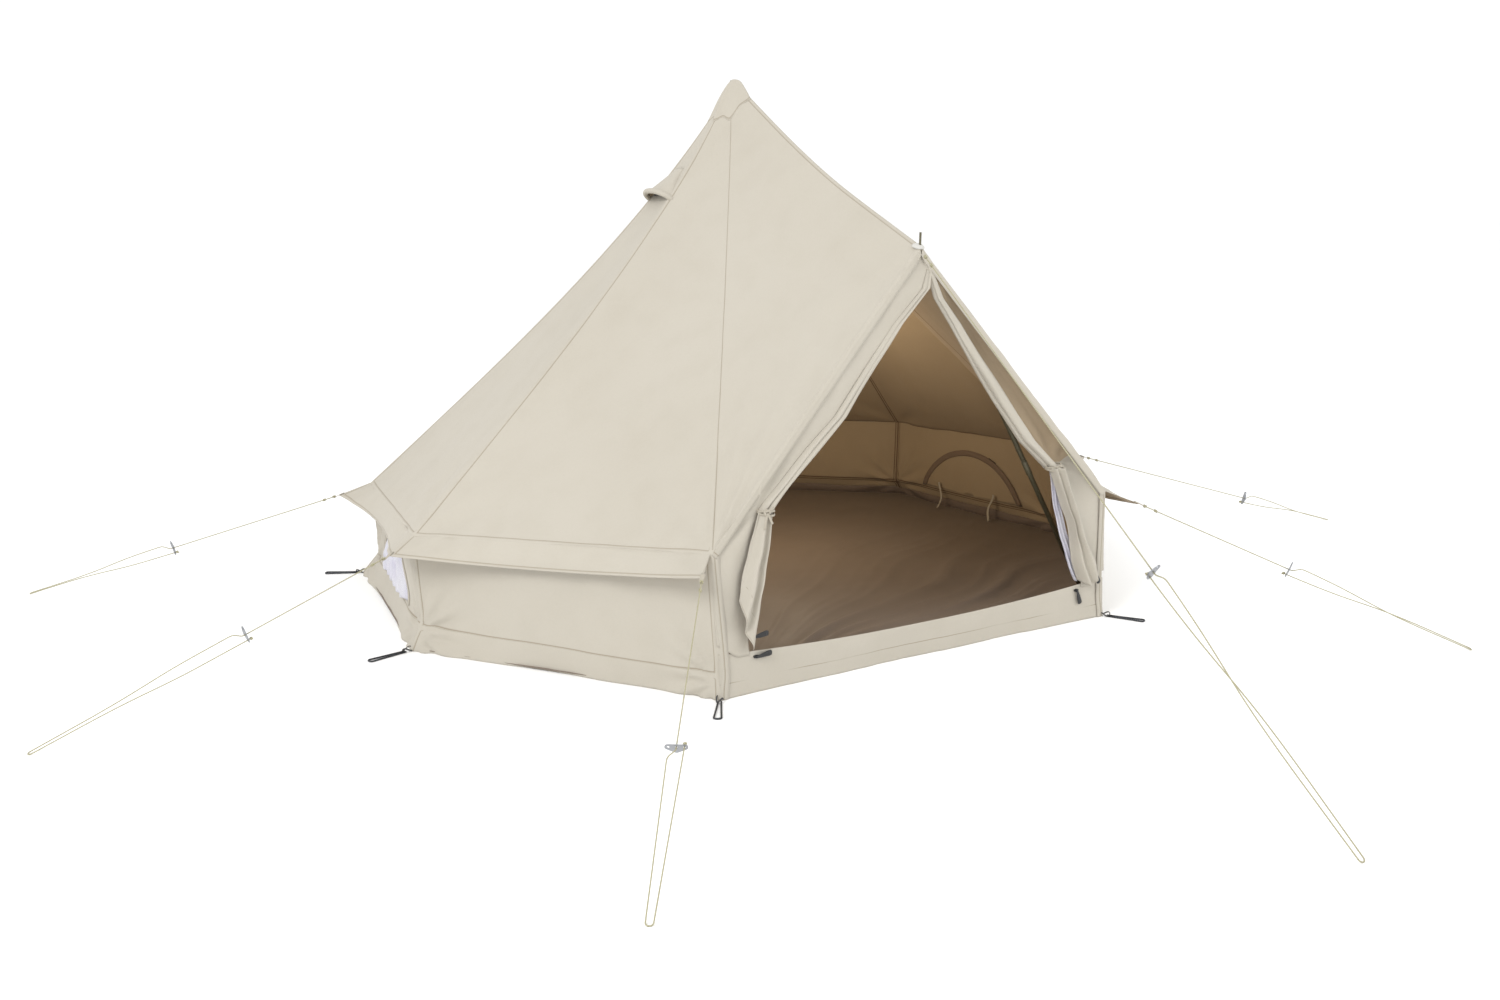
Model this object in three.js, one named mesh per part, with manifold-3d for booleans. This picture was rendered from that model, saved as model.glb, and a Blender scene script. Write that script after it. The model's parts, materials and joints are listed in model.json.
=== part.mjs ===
// Bell tent: eight-cornered canvas tent with one centre pole and an A-frame door.
// Millimetres, +Z up. The origin is on the ground under the tent's middle and the door faces -Y.
import * as THREE from 'three';
import * as BufferGeometryUtils from 'three/addons/utils/BufferGeometryUtils.js';
import Module from 'manifold-3d';

const wasm = await Module();
wasm.setup();

// ---- Driving dimensions ----
const APEX = new THREE.Vector3(0, 20, 1990);
const PORCH = new THREE.Vector3(0, -1241, 1396);       // where the door's A-frame meets the canvas
const CANVAS = 5;                                      // thickness of the plain roof sheets, measured upright
const WALL = 3;                                        // thickness of the plain wall sheets
const SEAM_GAP = 1.2;                                  // each sheet stops this far from its seam line
const RIDGE_SAG = 75;                                  // how far the wall ridges hang inside a straight line
const PORCH_SAG = 30;
const RIDGE_BEND = 0.4;                                // where on a ridge the sag is deepest, 0 at the peak
const RIDGE_START = 60;                                // the gores stop this far down from the peak
const FOLD_HEIGHT = 95;                                // the wall flares out to its pegs below this height
const FOLD_INSET = 4;                                  // the wall leans in by this much from eave to fold
const SILL_HEIGHT = 130;
const FLOOR = 5;
const ROPE_RADIUS = 1.9;
const PLATE_SPACING = 21;                              // from a guy plate's middle hole to each end hole
const PEG_WIRE = 3;
const PEG_LENGTH = 140;
const LEG_RADIUS = 9.5;
const POLE_RADIUS = 16;

// Each kind of corner stands on the left and on the right: degrees round from the door's middle,
// then the eave's radius and height, the hem's radius, and the guy tip's own angle, radius and height.
const CORNERS = {
  door: { angle: 31.8, eave: 1547, height: 476, hem: 1570, tipAngle: 33.3, tip: 1674, tipHeight: 436 },
  side: { angle: 77, eave: 1540, height: 415, hem: 1580, tipAngle: 75.7, tip: 1655, tipHeight: 371 },
  rear: { angle: 117.2, eave: 1538, height: 392, hem: 1600, tipAngle: 116.2, tip: 1667, tipHeight: 347 },
  back: { angle: 159, eave: 1538, height: 388, hem: 1600, tipAngle: 159, tip: 1667, tipHeight: 347 },
};

// Where each guy rope meets the ground, and its plate's place along the rope, 0 at the tent and 1 at the ground.
const GUYS = {
  front_left: { corner: 0, end: [-1608, -2420], plateAt: 0.56, spread: 'level' },
  side_left: { corner: 1, end: [-2748, -659], plateAt: 0.43, spread: 'upright' },
  rear_left: { corner: 2, end: [-2664, 1136], plateAt: 0.54, spread: 'upright' },
  side_right: { corner: 6, end: [2820, -818], plateAt: 0.64, spread: 'upright' },
  front_right: { corner: 7, end: [1642, -2282], plateAt: 0.46, spread: 'upright' },
  door: { corner: -1, end: [-11, -3045], plateAt: 0.6, spread: 'upright' },
};

const COLOURS = {
  canvas: [0xdad2c3, 0.9, 0],
  groundsheet: [0x6a5a4c, 0.7, 0],
  mesh: [0xf0eff4, 0.8, 0],
  steel: [0x9a9c9e, 0.35, 1],
  olive: [0x5d5a48, 0.45, 0.6],
  aluminium: [0x6d7072, 0.4, 1],
  rope: [0xe6e2c4, 0.85, 0],
  blackPlastic: [0x1c1c1d, 0.5, 0],
  darkSteel: [0x3a3a3c, 0.4, 1],
  rubber: [0x222222, 0.8, 0],
};

const tent = new THREE.Group();

// ---- Helpers ----
const vec = (x, y, z) => new THREE.Vector3(x, y, z);
const mix = (a, b, t) => new THREE.Vector3().lerpVectors(a, b, t);

function polar(angle, radius, height) {
  const turn = THREE.MathUtils.degToRad(angle);
  return vec(radius * Math.cos(turn), radius * Math.sin(turn), height);
}

function addMesh(name, geometry, colour) {
  const [color, roughness, metalness] = COLOURS[colour];
  const mesh = new THREE.Mesh(geometry, new THREE.MeshStandardMaterial({ color, roughness, metalness }));
  mesh.name = name;
  tent.add(mesh);
  return mesh;
}

// A closed geometry from points and triangles, turned so that its faces point out.
function closedGeometry(points, triangles) {
  let volume = 0;
  for (const [a, b, c] of triangles) {
    volume += points[a].dot(new THREE.Vector3().crossVectors(points[b], points[c]));
  }
  const facing = volume > 0 ? triangles : triangles.map(([a, b, c]) => [a, c, b]);
  const geometry = new THREE.BufferGeometry().setFromPoints(points);
  geometry.setIndex(facing.flat());
  geometry.computeVertexNormals();
  return geometry;
}

// A solid lofted through closed rings with the same number of points, flat at both ends.
function loft(rings) {
  const count = rings[0].length;
  const points = rings.flat();
  const triangles = [];
  for (let r = 0; r + 1 < rings.length; r += 1) {
    for (let i = 0; i < count; i += 1) {
      const a = r * count + i;
      const b = r * count + ((i + 1) % count);
      triangles.push([a, b, b + count], [a, b + count, a + count]);
    }
  }
  const last = (rings.length - 1) * count;
  for (let i = 1; i + 1 < count; i += 1) {
    triangles.push([0, i + 1, i], [last, last + i, last + i + 1]);
  }
  return closedGeometry(points, triangles);
}

// A thin closed shell between two grids of points. Both faces are split along the same diagonals,
// so that they never cross where the grid twists.
function shell(outerGrid, innerGrid) {
  const rows = outerGrid.length;
  const columns = outerGrid[0].length;
  const points = [...outerGrid.flat(), ...innerGrid.flat()];
  const inner = rows * columns;
  const triangles = [];
  const quad = (a, b, c, d) => triangles.push([a, b, c], [a, c, d]);
  const at = (r, c) => r * columns + c;
  for (let r = 0; r + 1 < rows; r += 1) {
    for (let c = 0; c + 1 < columns; c += 1) {
      quad(at(r, c), at(r, c + 1), at(r + 1, c + 1), at(r + 1, c));
      quad(inner + at(r, c), inner + at(r + 1, c), inner + at(r + 1, c + 1), inner + at(r, c + 1));
    }
  }
  const rim = [];
  for (let c = 0; c < columns; c += 1) rim.push(at(0, c));
  for (let r = 1; r < rows; r += 1) rim.push(at(r, columns - 1));
  for (let c = columns - 2; c >= 0; c -= 1) rim.push(at(rows - 1, c));
  for (let r = rows - 2; r > 0; r -= 1) rim.push(at(r, 0));
  rim.forEach((a, i) => {
    const b = rim[(i + 1) % rim.length];
    quad(b, a, inner + a, inner + b);
  });
  return closedGeometry(points, triangles);
}

// A sheet given by a grid of points on its outer face, thickened by the offset vector.
function sheet(grid, offset) {
  return shell(grid, grid.map((row) => row.map((p) => p.clone().add(offset))));
}

// The same flat outline with each edge moved in by a distance.
function inset(points, distance) {
  return points.map((p, i) => {
    const before = p.clone().sub(points[(i + points.length - 1) % points.length]).normalize();
    const after = points[(i + 1) % points.length].clone().sub(p).normalize();
    const turn = new THREE.Vector3().crossVectors(before, after).length();
    return p.clone().addScaledVector(after.sub(before), distance / turn);
  });
}

const prism = (points, offset) => loft([points, points.map((p) => p.clone().add(offset))]);

// A straight row of points across a sheet, kept clear of both seams.
function across(left, right, columns, gap) {
  const width = left.distanceTo(right);
  return Array.from({ length: columns }, (_, i) => {
    const along = gap + (i / (columns - 1)) * (width - 2 * gap);
    return mix(left, right, along / width);
  });
}

// A path whose steps fall exactly on its listed points.
class RoutePath extends THREE.Curve {
  constructor(points) {
    super();
    this.points = points;
  }

  getPoint(t, target = new THREE.Vector3()) {
    const place = t * (this.points.length - 1);
    const first = Math.min(Math.floor(place), this.points.length - 2);
    return target.lerpVectors(this.points[first], this.points[first + 1], place - first);
  }

  getPointAt(u, target) {
    return this.getPoint(u, target);
  }

  getTangentAt(u, target = new THREE.Vector3()) {
    const last = this.points.length - 1;
    const place = Math.round(u * last);
    const before = this.points[Math.max(place - 1, 0)];
    const here = this.points[place];
    const after = this.points[Math.min(place + 1, last)];
    const into = here.clone().sub(before).normalize();
    return target.copy(after).sub(here).normalize().add(into).normalize();
  }
}

function circleShape(radius, sides) {
  const shape = new THREE.Shape();
  for (let i = 0; i < sides; i += 1) {
    const turn = ((i + 0.5) / sides) * 2 * Math.PI;
    const method = i === 0 ? 'moveTo' : 'lineTo';
    shape[method](radius * Math.cos(turn), radius * Math.sin(turn));
  }
  shape.closePath();
  return shape;
}

function tubeAlong(points, radius, sides) {
  return new THREE.ExtrudeGeometry(circleShape(radius, sides), {
    steps: points.length - 1,
    bevelEnabled: false,
    extrudePath: new RoutePath(points),
  });
}

function toManifold(geometry) {
  const plain = geometry.clone();
  plain.deleteAttribute('normal');
  plain.deleteAttribute('uv');
  const merged = BufferGeometryUtils.mergeVertices(plain, 1e-4);
  return new wasm.Manifold(new wasm.Mesh({
    numProp: 3,
    vertProperties: new Float32Array(merged.attributes.position.array),
    triVerts: new Uint32Array(merged.index.array),
  }));
}

function fromManifold(solid) {
  const mesh = solid.getMesh();
  const geometry = new THREE.BufferGeometry();
  geometry.setAttribute('position', new THREE.BufferAttribute(mesh.vertProperties, 3));
  geometry.setIndex(new THREE.BufferAttribute(mesh.triVerts, 1));
  geometry.computeVertexNormals();
  return geometry;
}

// ---- The eight corners, counted clockwise from the left door corner as seen from above ----
function makeCorner(kind, side) {
  const angle = -90 + side * kind.angle;
  return {
    eave: polar(angle, kind.eave, kind.height),
    hem: polar(angle, kind.hem, 0),
    fold: polar(angle, kind.eave - FOLD_INSET, FOLD_HEIGHT),
    tip: polar(-90 + side * kind.tipAngle, kind.tip, kind.tipHeight),
    out: polar(angle, 1, 0),
  };
}
const kinds = Object.values(CORNERS);
const corners = [
  ...kinds.map((kind) => makeCorner(kind, -1)),
  ...kinds.toReversed().map((kind) => makeCorner(kind, 1)),
];
const sides = corners.slice(0, 7).map((corner, i) => [corner, corners[i + 1]]);

// The door's plane leans from the hem line up to the porch point.
const doorHemY = corners[0].hem.y;
const doorLean = (PORCH.y - doorHemY) / PORCH.z;
const doorY = (z) => doorHemY + doorLean * z;
for (const corner of [corners[0], corners[7]]) {
  corner.eave.y = doorY(corner.eave.z);
  corner.eave.x = Math.sign(corner.eave.x) * 838;
  corner.fold.x = Math.sign(corner.fold.x) * 829;
  corner.fold.y = doorY(FOLD_HEIGHT);
}

// ---- Roof ----
// The lowest point of a ridge's sag, square to its straight line and towards the inside of the tent.
function ridgeBend(foot) {
  const sag = foot === PORCH ? PORCH_SAG : RIDGE_SAG;
  const run = foot.clone().sub(APEX).normalize();
  const sideways = new THREE.Vector3().crossVectors(run, vec(0, 0, 1)).normalize();
  const inside = new THREE.Vector3().crossVectors(sideways, run).normalize();
  if (inside.z > 0) inside.negate();
  return mix(APEX, foot, RIDGE_BEND).addScaledVector(inside, sag);
}

const ridgeStart = (foot) => APEX.clone().add(ridgeBend(foot).sub(APEX).setLength(RIDGE_START));

function roofGore(left, right) {
  const hemDrop = 80;
  const hemReach = 40;
  const columns = 7;
  const outward = mix(left.out, right.out, 0.5).normalize();
  const top = across(ridgeStart(left.eave), ridgeStart(right.eave), columns, SEAM_GAP);
  const bend = across(ridgeBend(left.eave), ridgeBend(right.eave), columns, SEAM_GAP);
  const seam = across(left.eave, right.eave, columns, SEAM_GAP);
  const tipLine = across(left.tip, right.tip, columns, SEAM_GAP);
  const hem = seam.map((p, i) => {
    const low = p.clone().addScaledVector(outward, hemReach).add(vec(0, 0, -hemDrop));
    const scallop = (2 * i / (columns - 1) - 1) ** 2;
    return mix(low, tipLine[i], scallop);
  });
  return sheet([top, bend, seam, hem], vec(0, 0, -CANVAS));
}

// The wing between a door corner's ridge and the porch ridge; it stops short of the porch pin.
function roofWing(corner) {
  const porchCut = 34;
  const frontEnd = PORCH.clone().add(corner.eave.clone().sub(PORCH).setLength(porchCut));
  const columns = 3;
  return sheet([
    across(ridgeStart(corner.eave), ridgeStart(PORCH), columns, SEAM_GAP),
    across(ridgeBend(corner.eave), ridgeBend(PORCH), columns, SEAM_GAP),
    across(corner.eave, frontEnd, columns, SEAM_GAP),
  ], vec(0, 0, -CANVAS));
}

// The cap is a shallow cone of the roof's own slopes, lifted clear of the canvas below it.
function peakCap() {
  const reach = 190;
  const lift = 2.5;
  const thickness = 5;
  const rim = [...corners.map((c) => c.eave), PORCH].map((foot) => {
    return APEX.clone().add(ridgeBend(foot).sub(APEX).setLength(reach));
  });
  const under = rim.map((p) => p.clone().add(vec(0, 0, lift)));
  const over = rim.map((p) => p.clone().add(vec(0, 0, lift + thickness)));
  const count = rim.length;
  const points = [...under, ...over, APEX.clone().add(vec(0, 0, lift)), APEX.clone().add(vec(0, 0, lift + thickness))];
  const triangles = [];
  for (let i = 0; i < count; i += 1) {
    const next = (i + 1) % count;
    triangles.push([i, next, 2 * count], [count + next, count + i, 2 * count + 1]);
    triangles.push([next, i, count + i], [next, count + i, count + next]);
  }
  return closedGeometry(points, triangles);
}

// An arched vent hood that stands off a side panel high up on the roof.
function ventHood(left, right) {
  const downSlope = 548;
  const width = 230;
  const reach = 60;
  const length = 170;
  const steps = 8;
  const bend = mix(ridgeBend(left.eave), ridgeBend(right.eave), 0.5);
  const down = bend.sub(APEX).normalize();
  const along = right.eave.clone().sub(left.eave).normalize();
  const normal = new THREE.Vector3().crossVectors(along, down).normalize();
  if (normal.z < 0) normal.negate();
  const base = APEX.clone().addScaledVector(down, downSlope).addScaledVector(normal, 1.5);
  const arch = (scale, rise, back, skin) => Array.from({ length: steps + 1 }, (_, i) => {
    const turn = Math.PI * (i / steps);
    return base.clone()
      .addScaledVector(along, ((width / 2) * scale - skin) * Math.cos(turn))
      .addScaledVector(normal, (rise - skin) * Math.sin(turn) + 0.01)
      .addScaledVector(down, -back);
  });
  const rings = (skin) => [
    arch(1, reach, 0, skin),
    arch(0.75, reach * 0.55, length * 0.6, skin),
    arch(0.3, 14, length, skin),
  ];
  return shell(rings(0), rings(3));
}

// ---- Walls ----
function wallPanel(left, right) {
  const inward = mix(left.out, right.out, 0.5).normalize().negate();
  const underRoof = CANVAS + 3;
  const top = across(left.eave, right.eave, 2, 3).map((p) => p.add(vec(0, 0, -underRoof)).add(inward));
  const fold = across(left.fold, right.fold, 2, 3);
  const hem = across(left.hem, right.hem, 2, 3);
  return sheet([top, fold, hem], inward.clone().multiplyScalar(WALL));
}

// The frame of a window: middle of the wall, along the wall to the right as seen from outside, and outward.
const WINDOW = { radius: 340, centreHeight: -36, sill: 108 };

function windowFrame(left, right) {
  const along = right.fold.clone().sub(left.fold).setZ(0).normalize();
  const outward = vec(along.y, -along.x, 0);
  if (outward.dot(left.out) < 0) outward.negate();
  const foot = mix(left.fold, right.fold, 0.5);
  const head = mix(left.eave, right.eave, 0.5);
  return { along, outward, foot, head };
}

function archOutline(radius, sill) {
  const half = Math.acos((sill - WINDOW.centreHeight) / radius);
  const steps = 14;
  return Array.from({ length: steps + 1 }, (_, i) => {
    const turn = -half + (2 * half * i) / steps;
    return [radius * Math.sin(turn), WINDOW.centreHeight + radius * Math.cos(turn)];
  });
}

// An arched plate that follows the wall's slope, offset outward from the wall's outer face.
function archPlate(left, right, radius, sill, offset, thickness) {
  const { along, outward, foot, head } = windowFrame(left, right);
  const lean = head.clone().sub(foot).divideScalar(head.z - foot.z);
  const outline = archOutline(radius, sill).map(([x, z]) => foot.clone()
    .addScaledVector(along, x)
    .addScaledVector(lean, z - foot.z)
    .addScaledVector(outward, offset));
  return prism(outline, outward.clone().multiplyScalar(-thickness));
}

function windowWall(left, right) {
  const cutter = toManifold(archPlate(left, right, WINDOW.radius, WINDOW.sill, 30, 60));
  return fromManifold(toManifold(wallPanel(left, right)).subtract(cutter));
}

// The slider sits on the arched zip of the closed window, a little to one side of the arch's top.
function windowZipSlider(left, right) {
  const angle = THREE.MathUtils.degToRad(20);
  const ring = WINDOW.radius + 16;
  const { along, outward, foot, head } = windowFrame(left, right);
  const lean = head.clone().sub(foot).divideScalar(head.z - foot.z);
  const place = foot.clone()
    .addScaledVector(along, ring * Math.sin(angle))
    .addScaledVector(lean, WINDOW.centreHeight + ring * Math.cos(angle) - foot.z)
    .addScaledVector(outward, -12);
  const size = { long: 14, wide: 9, deep: 5, tab: 34 };
  const tangent = along.clone().multiplyScalar(Math.cos(angle)).addScaledVector(vec(0, 0, 1), -Math.sin(angle));
  const radial = new THREE.Vector3().crossVectors(outward, tangent).normalize();
  const section = (reach, wide, deep) => [[-1, -1], [1, -1], [1, 1], [-1, 1]].map(([u, v]) => place.clone()
    .addScaledVector(tangent, reach)
    .addScaledVector(radial, (u * wide) / 2)
    .addScaledVector(outward, (v * deep) / 2));
  return loft([
    section(-size.long / 2, size.wide * 0.6, size.deep),
    section(0, size.wide, size.deep),
    section(size.long / 2, size.wide * 0.6, size.deep),
    section(size.long / 2 + size.tab, size.wide * 0.5, size.deep * 0.5),
  ]);
}

// The open window's flap lies folded down inside the wall, under the sill.
function openWindowFlap(left, right) {
  const { along, outward, foot } = windowFrame(left, right);
  const half = 290;
  const section = (x) => [[-14, 100], [-26, 96], [-30, 80], [-24, 66], [-14, 62]].map(([depth, z]) => foot.clone()
    .setZ(z)
    .addScaledVector(along, x)
    .addScaledVector(outward, depth));
  return loft([section(-half), section(0), section(half)]);
}

function doorSill() {
  const [left, right] = [corners[0].hem, corners[7].hem];
  const endGap = 8;
  const bottom = across(left, right, 2, endGap);
  const top = bottom.map((p) => vec(p.x, doorY(SILL_HEIGHT), SILL_HEIGHT));
  return sheet([top, bottom], vec(0, WALL, 0));
}

// A door flap gathered along the sloping door edge, tied at the waist and hanging free below the tie.
function doorFlap(side) {
  const sections = [
    { x: 60, z: 1252, wide: 26, deep: 10 },
    { x: 168, z: 1120, wide: 50, deep: 14 },
    { x: 340, z: 925, wide: 56, deep: 16 },
    { x: 520, z: 725, wide: 48, deep: 20 },
    { x: 640, z: 592, wide: 26, deep: 22 },
    { x: 688, z: 480, wide: 44, deep: 20 },
    { x: 728, z: 300, wide: 58, deep: 18 },
    { x: 742, z: 150, wide: 60, deep: 18 },
  ];
  const places = sections.map((s) => vec(side * s.x, doorY(s.z), s.z));
  const rings = sections.map((s, i) => {
    const before = places[Math.max(i - 1, 0)];
    const after = places[Math.min(i + 1, places.length - 1)];
    const forward = after.clone().sub(before).normalize();
    const deepAxis = vec(0, 1, -doorLean).normalize();
    const wideAxis = new THREE.Vector3().crossVectors(forward, deepAxis).normalize();
    return Array.from({ length: 10 }, (_, k) => {
      const turn = (k / 10) * 2 * Math.PI;
      return places[i].clone()
        .addScaledVector(wideAxis, s.wide * Math.cos(turn))
        .addScaledVector(deepAxis, s.deep * Math.sin(turn));
    });
  });
  return loft(rings);
}

// ---- Groundsheet ----
function groundsheet() {
  const edgeGap = 9;
  const outline = inset(corners.map((c) => c.hem.clone()), edgeGap);
  return prism(outline, vec(0, 0, FLOOR));
}

// The welded upstand that turns the groundsheet into a shallow tray: a closed band along the wall.
function groundsheetRim() {
  const bottom = FLOOR + 0.4;
  const top = bottom + 50;
  const [outer, inner] = [14, 17];
  const edge = corners.map((c) => c.fold.clone().setZ(0));
  const section = [[outer, bottom], [outer, top], [inner, top], [inner, bottom]];
  const rings = section.map(([distance, z]) => inset(edge, distance).map((p) => p.clone().setZ(z)));
  const count = edge.length;
  const points = rings.flat();
  const triangles = [];
  for (let r = 0; r < 4; r += 1) {
    for (let i = 0; i < count; i += 1) {
      const a = r * count + i;
      const b = r * count + ((i + 1) % count);
      const c = ((r + 1) % 4) * count + ((i + 1) % count);
      const d = ((r + 1) % 4) * count + i;
      triangles.push([a, b, c], [a, c, d]);
    }
  }
  return closedGeometry(points, triangles);
}

// ---- Poles ----
const lathe = (profile, segments) => {
  const geometry = new THREE.LatheGeometry(profile.map(([r, z]) => new THREE.Vector2(r, z)), segments);
  return geometry.rotateX(Math.PI / 2);
};

const POLE_JOIN = 1010;
const POLE_FOOT_TOP = 18;
const POLE_BORE = 14.8;

function poleFoot() {
  return lathe([[0, FLOOR + 0.4], [34, FLOOR + 0.4], [34, 11], [22, POLE_FOOT_TOP], [0, POLE_FOOT_TOP]], 20);
}

function poleLower() {
  const bottom = POLE_FOOT_TOP + 0.4;
  const tube = [[POLE_BORE, bottom], [POLE_RADIUS, bottom], [POLE_RADIUS, POLE_JOIN], [POLE_BORE, POLE_JOIN]];
  return lathe([...tube, tube[0]], 16);
}

// The upper section has a swaged end that plugs into the lower one, and a pin at its top for the peak.
function poleUpper() {
  const plug = 14;
  const bottom = POLE_JOIN + 0.4;
  const top = 1938;
  return lathe([
    [0, top - 6], [plug - 1.5, top - 6], [plug - 1.5, bottom - 60], [plug, bottom - 60], [plug, bottom],
    [POLE_RADIUS, bottom], [POLE_RADIUS, top], [10, top + 6], [4, top + 8], [4, top + 36], [0, top + 36],
  ], 16);
}

const LEG_TOP = { x: 28, z: 1334, behind: 46 };
const LEG_KNEE = { x: 208, z: 1142, behind: 61 };
const LEG_FOOT = { x: 903, z: FLOOR + 5.6, behind: 165 };

// Each leg follows the door wing down from the head, then bends and stands wide just inside the wall.
function aframeLeg(side) {
  const place = ({ x, z, behind }) => vec(side * x, doorY(z) + behind, z);
  const top = place(LEG_TOP);
  const knee = place(LEG_KNEE);
  const foot = place(LEG_FOOT);
  const below = mix(knee, foot, 0.035);
  const above = mix(knee, top, 0.16);
  const bend = mix(mix(below, above, 0.5), knee, 0.5);
  return tubeAlong([foot, below, bend, above, top], LEG_RADIUS, 12);
}

// The moulded head that both legs plug against, with the pin that stands up through the canvas.
function aframeHead() {
  const y = doorY(LEG_TOP.z) + LEG_TOP.behind;
  const outline = [[-36, 1342], [36, 1342], [24, 1366], [10, 1374], [-10, 1374], [-24, 1366]];
  const body = new THREE.Shape(outline.map(([x, z]) => new THREE.Vector2(x, z)));
  const block = new THREE.ExtrudeGeometry(body, { depth: 24, bevelEnabled: false });
  block.rotateX(Math.PI / 2);
  block.translate(0, y + 12, 0);
  const pin = tubeAlong([vec(0, y - 4, 1360), vec(0, PORCH.y + 16, 1380), vec(0, PORCH.y + 1, 1400), vec(0, PORCH.y, 1440)], 4, 10);
  return fromManifold(toManifold(block).add(toManifold(pin)));
}

// ---- Guy ropes and plates ----
function guyFrame(name) {
  const guy = GUYS[name];
  const ground = vec(guy.end[0], guy.end[1], ROPE_RADIUS);
  const start = guy.corner < 0 ? vec(0, PORCH.y - 22, PORCH.z - 30) : corners[guy.corner].tip.clone();
  const axis = ground.clone().sub(start).normalize();
  if (guy.corner >= 0) start.addScaledVector(axis, 12);
  const length = start.distanceTo(ground);
  const level = new THREE.Vector3().crossVectors(axis, vec(0, 0, 1)).normalize();
  const upright = new THREE.Vector3().crossVectors(level, axis).normalize();
  const spread = guy.spread === 'level' ? level : upright;
  return { start, ground, axis, length, spread, plate: guy.plateAt * length };
}

// The rope runs through the plate's middle hole, along one leg to the peg end and back to an end hole.
function guyRope(name) {
  const { start, ground, axis, length, spread, plate } = guyFrame(name);
  const at = (along, aside) => start.clone().addScaledVector(axis, along).addScaledVector(spread, aside);
  const loopRadius = 7;
  const loopCentre = length - loopRadius;
  const flat = vec(ground.x, ground.y, ground.z).sub(at(length, 0));
  const route = [at(0, 0)];
  for (let i = 1; i <= 5; i += 1) route.push(at((plate * i) / 5.2, 0));
  const legSide = (along) => {
    const share = (along - plate) / (loopCentre - plate);
    return PLATE_SPACING + (loopRadius - PLATE_SPACING) * share;
  };
  route.push(at(plate - 12, 0), at(plate + 8, 0), at(plate + 14, 2), at(plate + 22, 8));
  route.push(at(plate + 30, 14), at(plate + 38, 18.5), at(plate + 48, legSide(plate + 48)));
  const legSteps = 6;
  for (let i = 1; i <= legSteps; i += 1) {
    const along = plate + 48 + ((loopCentre - plate - 48) * i) / legSteps;
    route.push(at(along, legSide(along)));
  }
  for (let i = 1; i < 8; i += 1) {
    const turn = (Math.PI * i) / 8;
    route.push(at(loopCentre + loopRadius * Math.sin(turn), loopRadius * Math.cos(turn)));
  }
  for (let i = legSteps; i >= 0; i -= 1) {
    const along = plate + 20 + ((loopCentre - plate - 20) * i) / legSteps;
    route.push(at(along, -legSide(along)));
  }
  route.push(at(plate - 8, -PLATE_SPACING));
  for (const point of route) {
    point.add(flat);
    point.z = Math.max(point.z, ROPE_RADIUS + 0.1);
  }
  return tubeAlong(route, ROPE_RADIUS, 8);
}

// A flat plate with three holes: rounded long triangle, its face square to the rope.
function guyPlate(name) {
  const { start, axis, spread, plate } = guyFrame(name);
  const thickness = 3;
  const shape = new THREE.Shape();
  const [endRadius, peakRadius, peakRise] = [8, 9, 10];
  shape.moveTo(-PLATE_SPACING - 2, -endRadius);
  shape.lineTo(PLATE_SPACING + 2, -endRadius);
  shape.absarc(PLATE_SPACING + 2, 0, endRadius, -Math.PI / 2, Math.PI * 0.36, false);
  shape.absarc(0, peakRise, peakRadius, Math.PI * 0.36, Math.PI * 0.64, false);
  shape.absarc(-PLATE_SPACING - 2, 0, endRadius, Math.PI * 0.64, Math.PI * 1.5, false);
  for (const x of [-PLATE_SPACING, 0, PLATE_SPACING]) {
    const hole = new THREE.Path();
    hole.absarc(x, 0, 4, 0, 2 * Math.PI, true);
    shape.holes.push(hole);
  }
  const geometry = new THREE.ExtrudeGeometry(shape, { depth: thickness, bevelEnabled: false, curveSegments: 5 });
  geometry.translate(0, 0, -thickness / 2);
  const mesh = addMesh(`guy_plate_${name}`, geometry, 'aluminium');
  const third = new THREE.Vector3().crossVectors(axis, spread);
  mesh.quaternion.setFromRotationMatrix(new THREE.Matrix4().makeBasis(spread, third, axis));
  mesh.position.copy(start).addScaledVector(axis, plate);
}

// ---- Ground pegs ----
function peg(corner) {
  const gap = 16;
  const height = PEG_WIRE + 0.05;
  const across90 = vec(-corner.out.y, corner.out.x, 0);
  const base = corner.hem.clone().addScaledVector(corner.out, gap);
  const at = (along, aside) => base.clone()
    .addScaledVector(corner.out, along)
    .addScaledVector(across90, aside)
    .setZ(height);
  const route = [at(0, -5), at(40, -7), at(90, -9.5), at(PEG_LENGTH - 8, -12)];
  for (let i = 1; i < 6; i += 1) {
    const turn = -Math.PI / 2 + (Math.PI * i) / 6;
    route.push(at(PEG_LENGTH - 8 + 8 * Math.cos(turn), 12 * Math.sin(turn)));
  }
  route.push(at(PEG_LENGTH - 8, 12), at(90, 9.5), at(40, 7), at(0, 5));
  return tubeAlong(route, PEG_WIRE, 8);
}

// ---- Sill zips ----
const ZIP = { x: 690, z: 121, long: 18, tall: 11, deep: 6, pull: 56 };

function zipSlider(side) {
  const { x, z, long, tall, deep } = ZIP;
  const y = doorY(z) - 4;
  const section = (reach, scale) => [[-1, -1], [1, -1], [1, 1], [-1, 1]].map(([u, v]) => vec(
    side * x + reach,
    y + (u * deep) / 2,
    z + (v * tall * scale) / 2,
  ));
  return loft([section(-long / 2, 0.6), section(0, 1), section(long / 2, 0.6)]);
}

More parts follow.
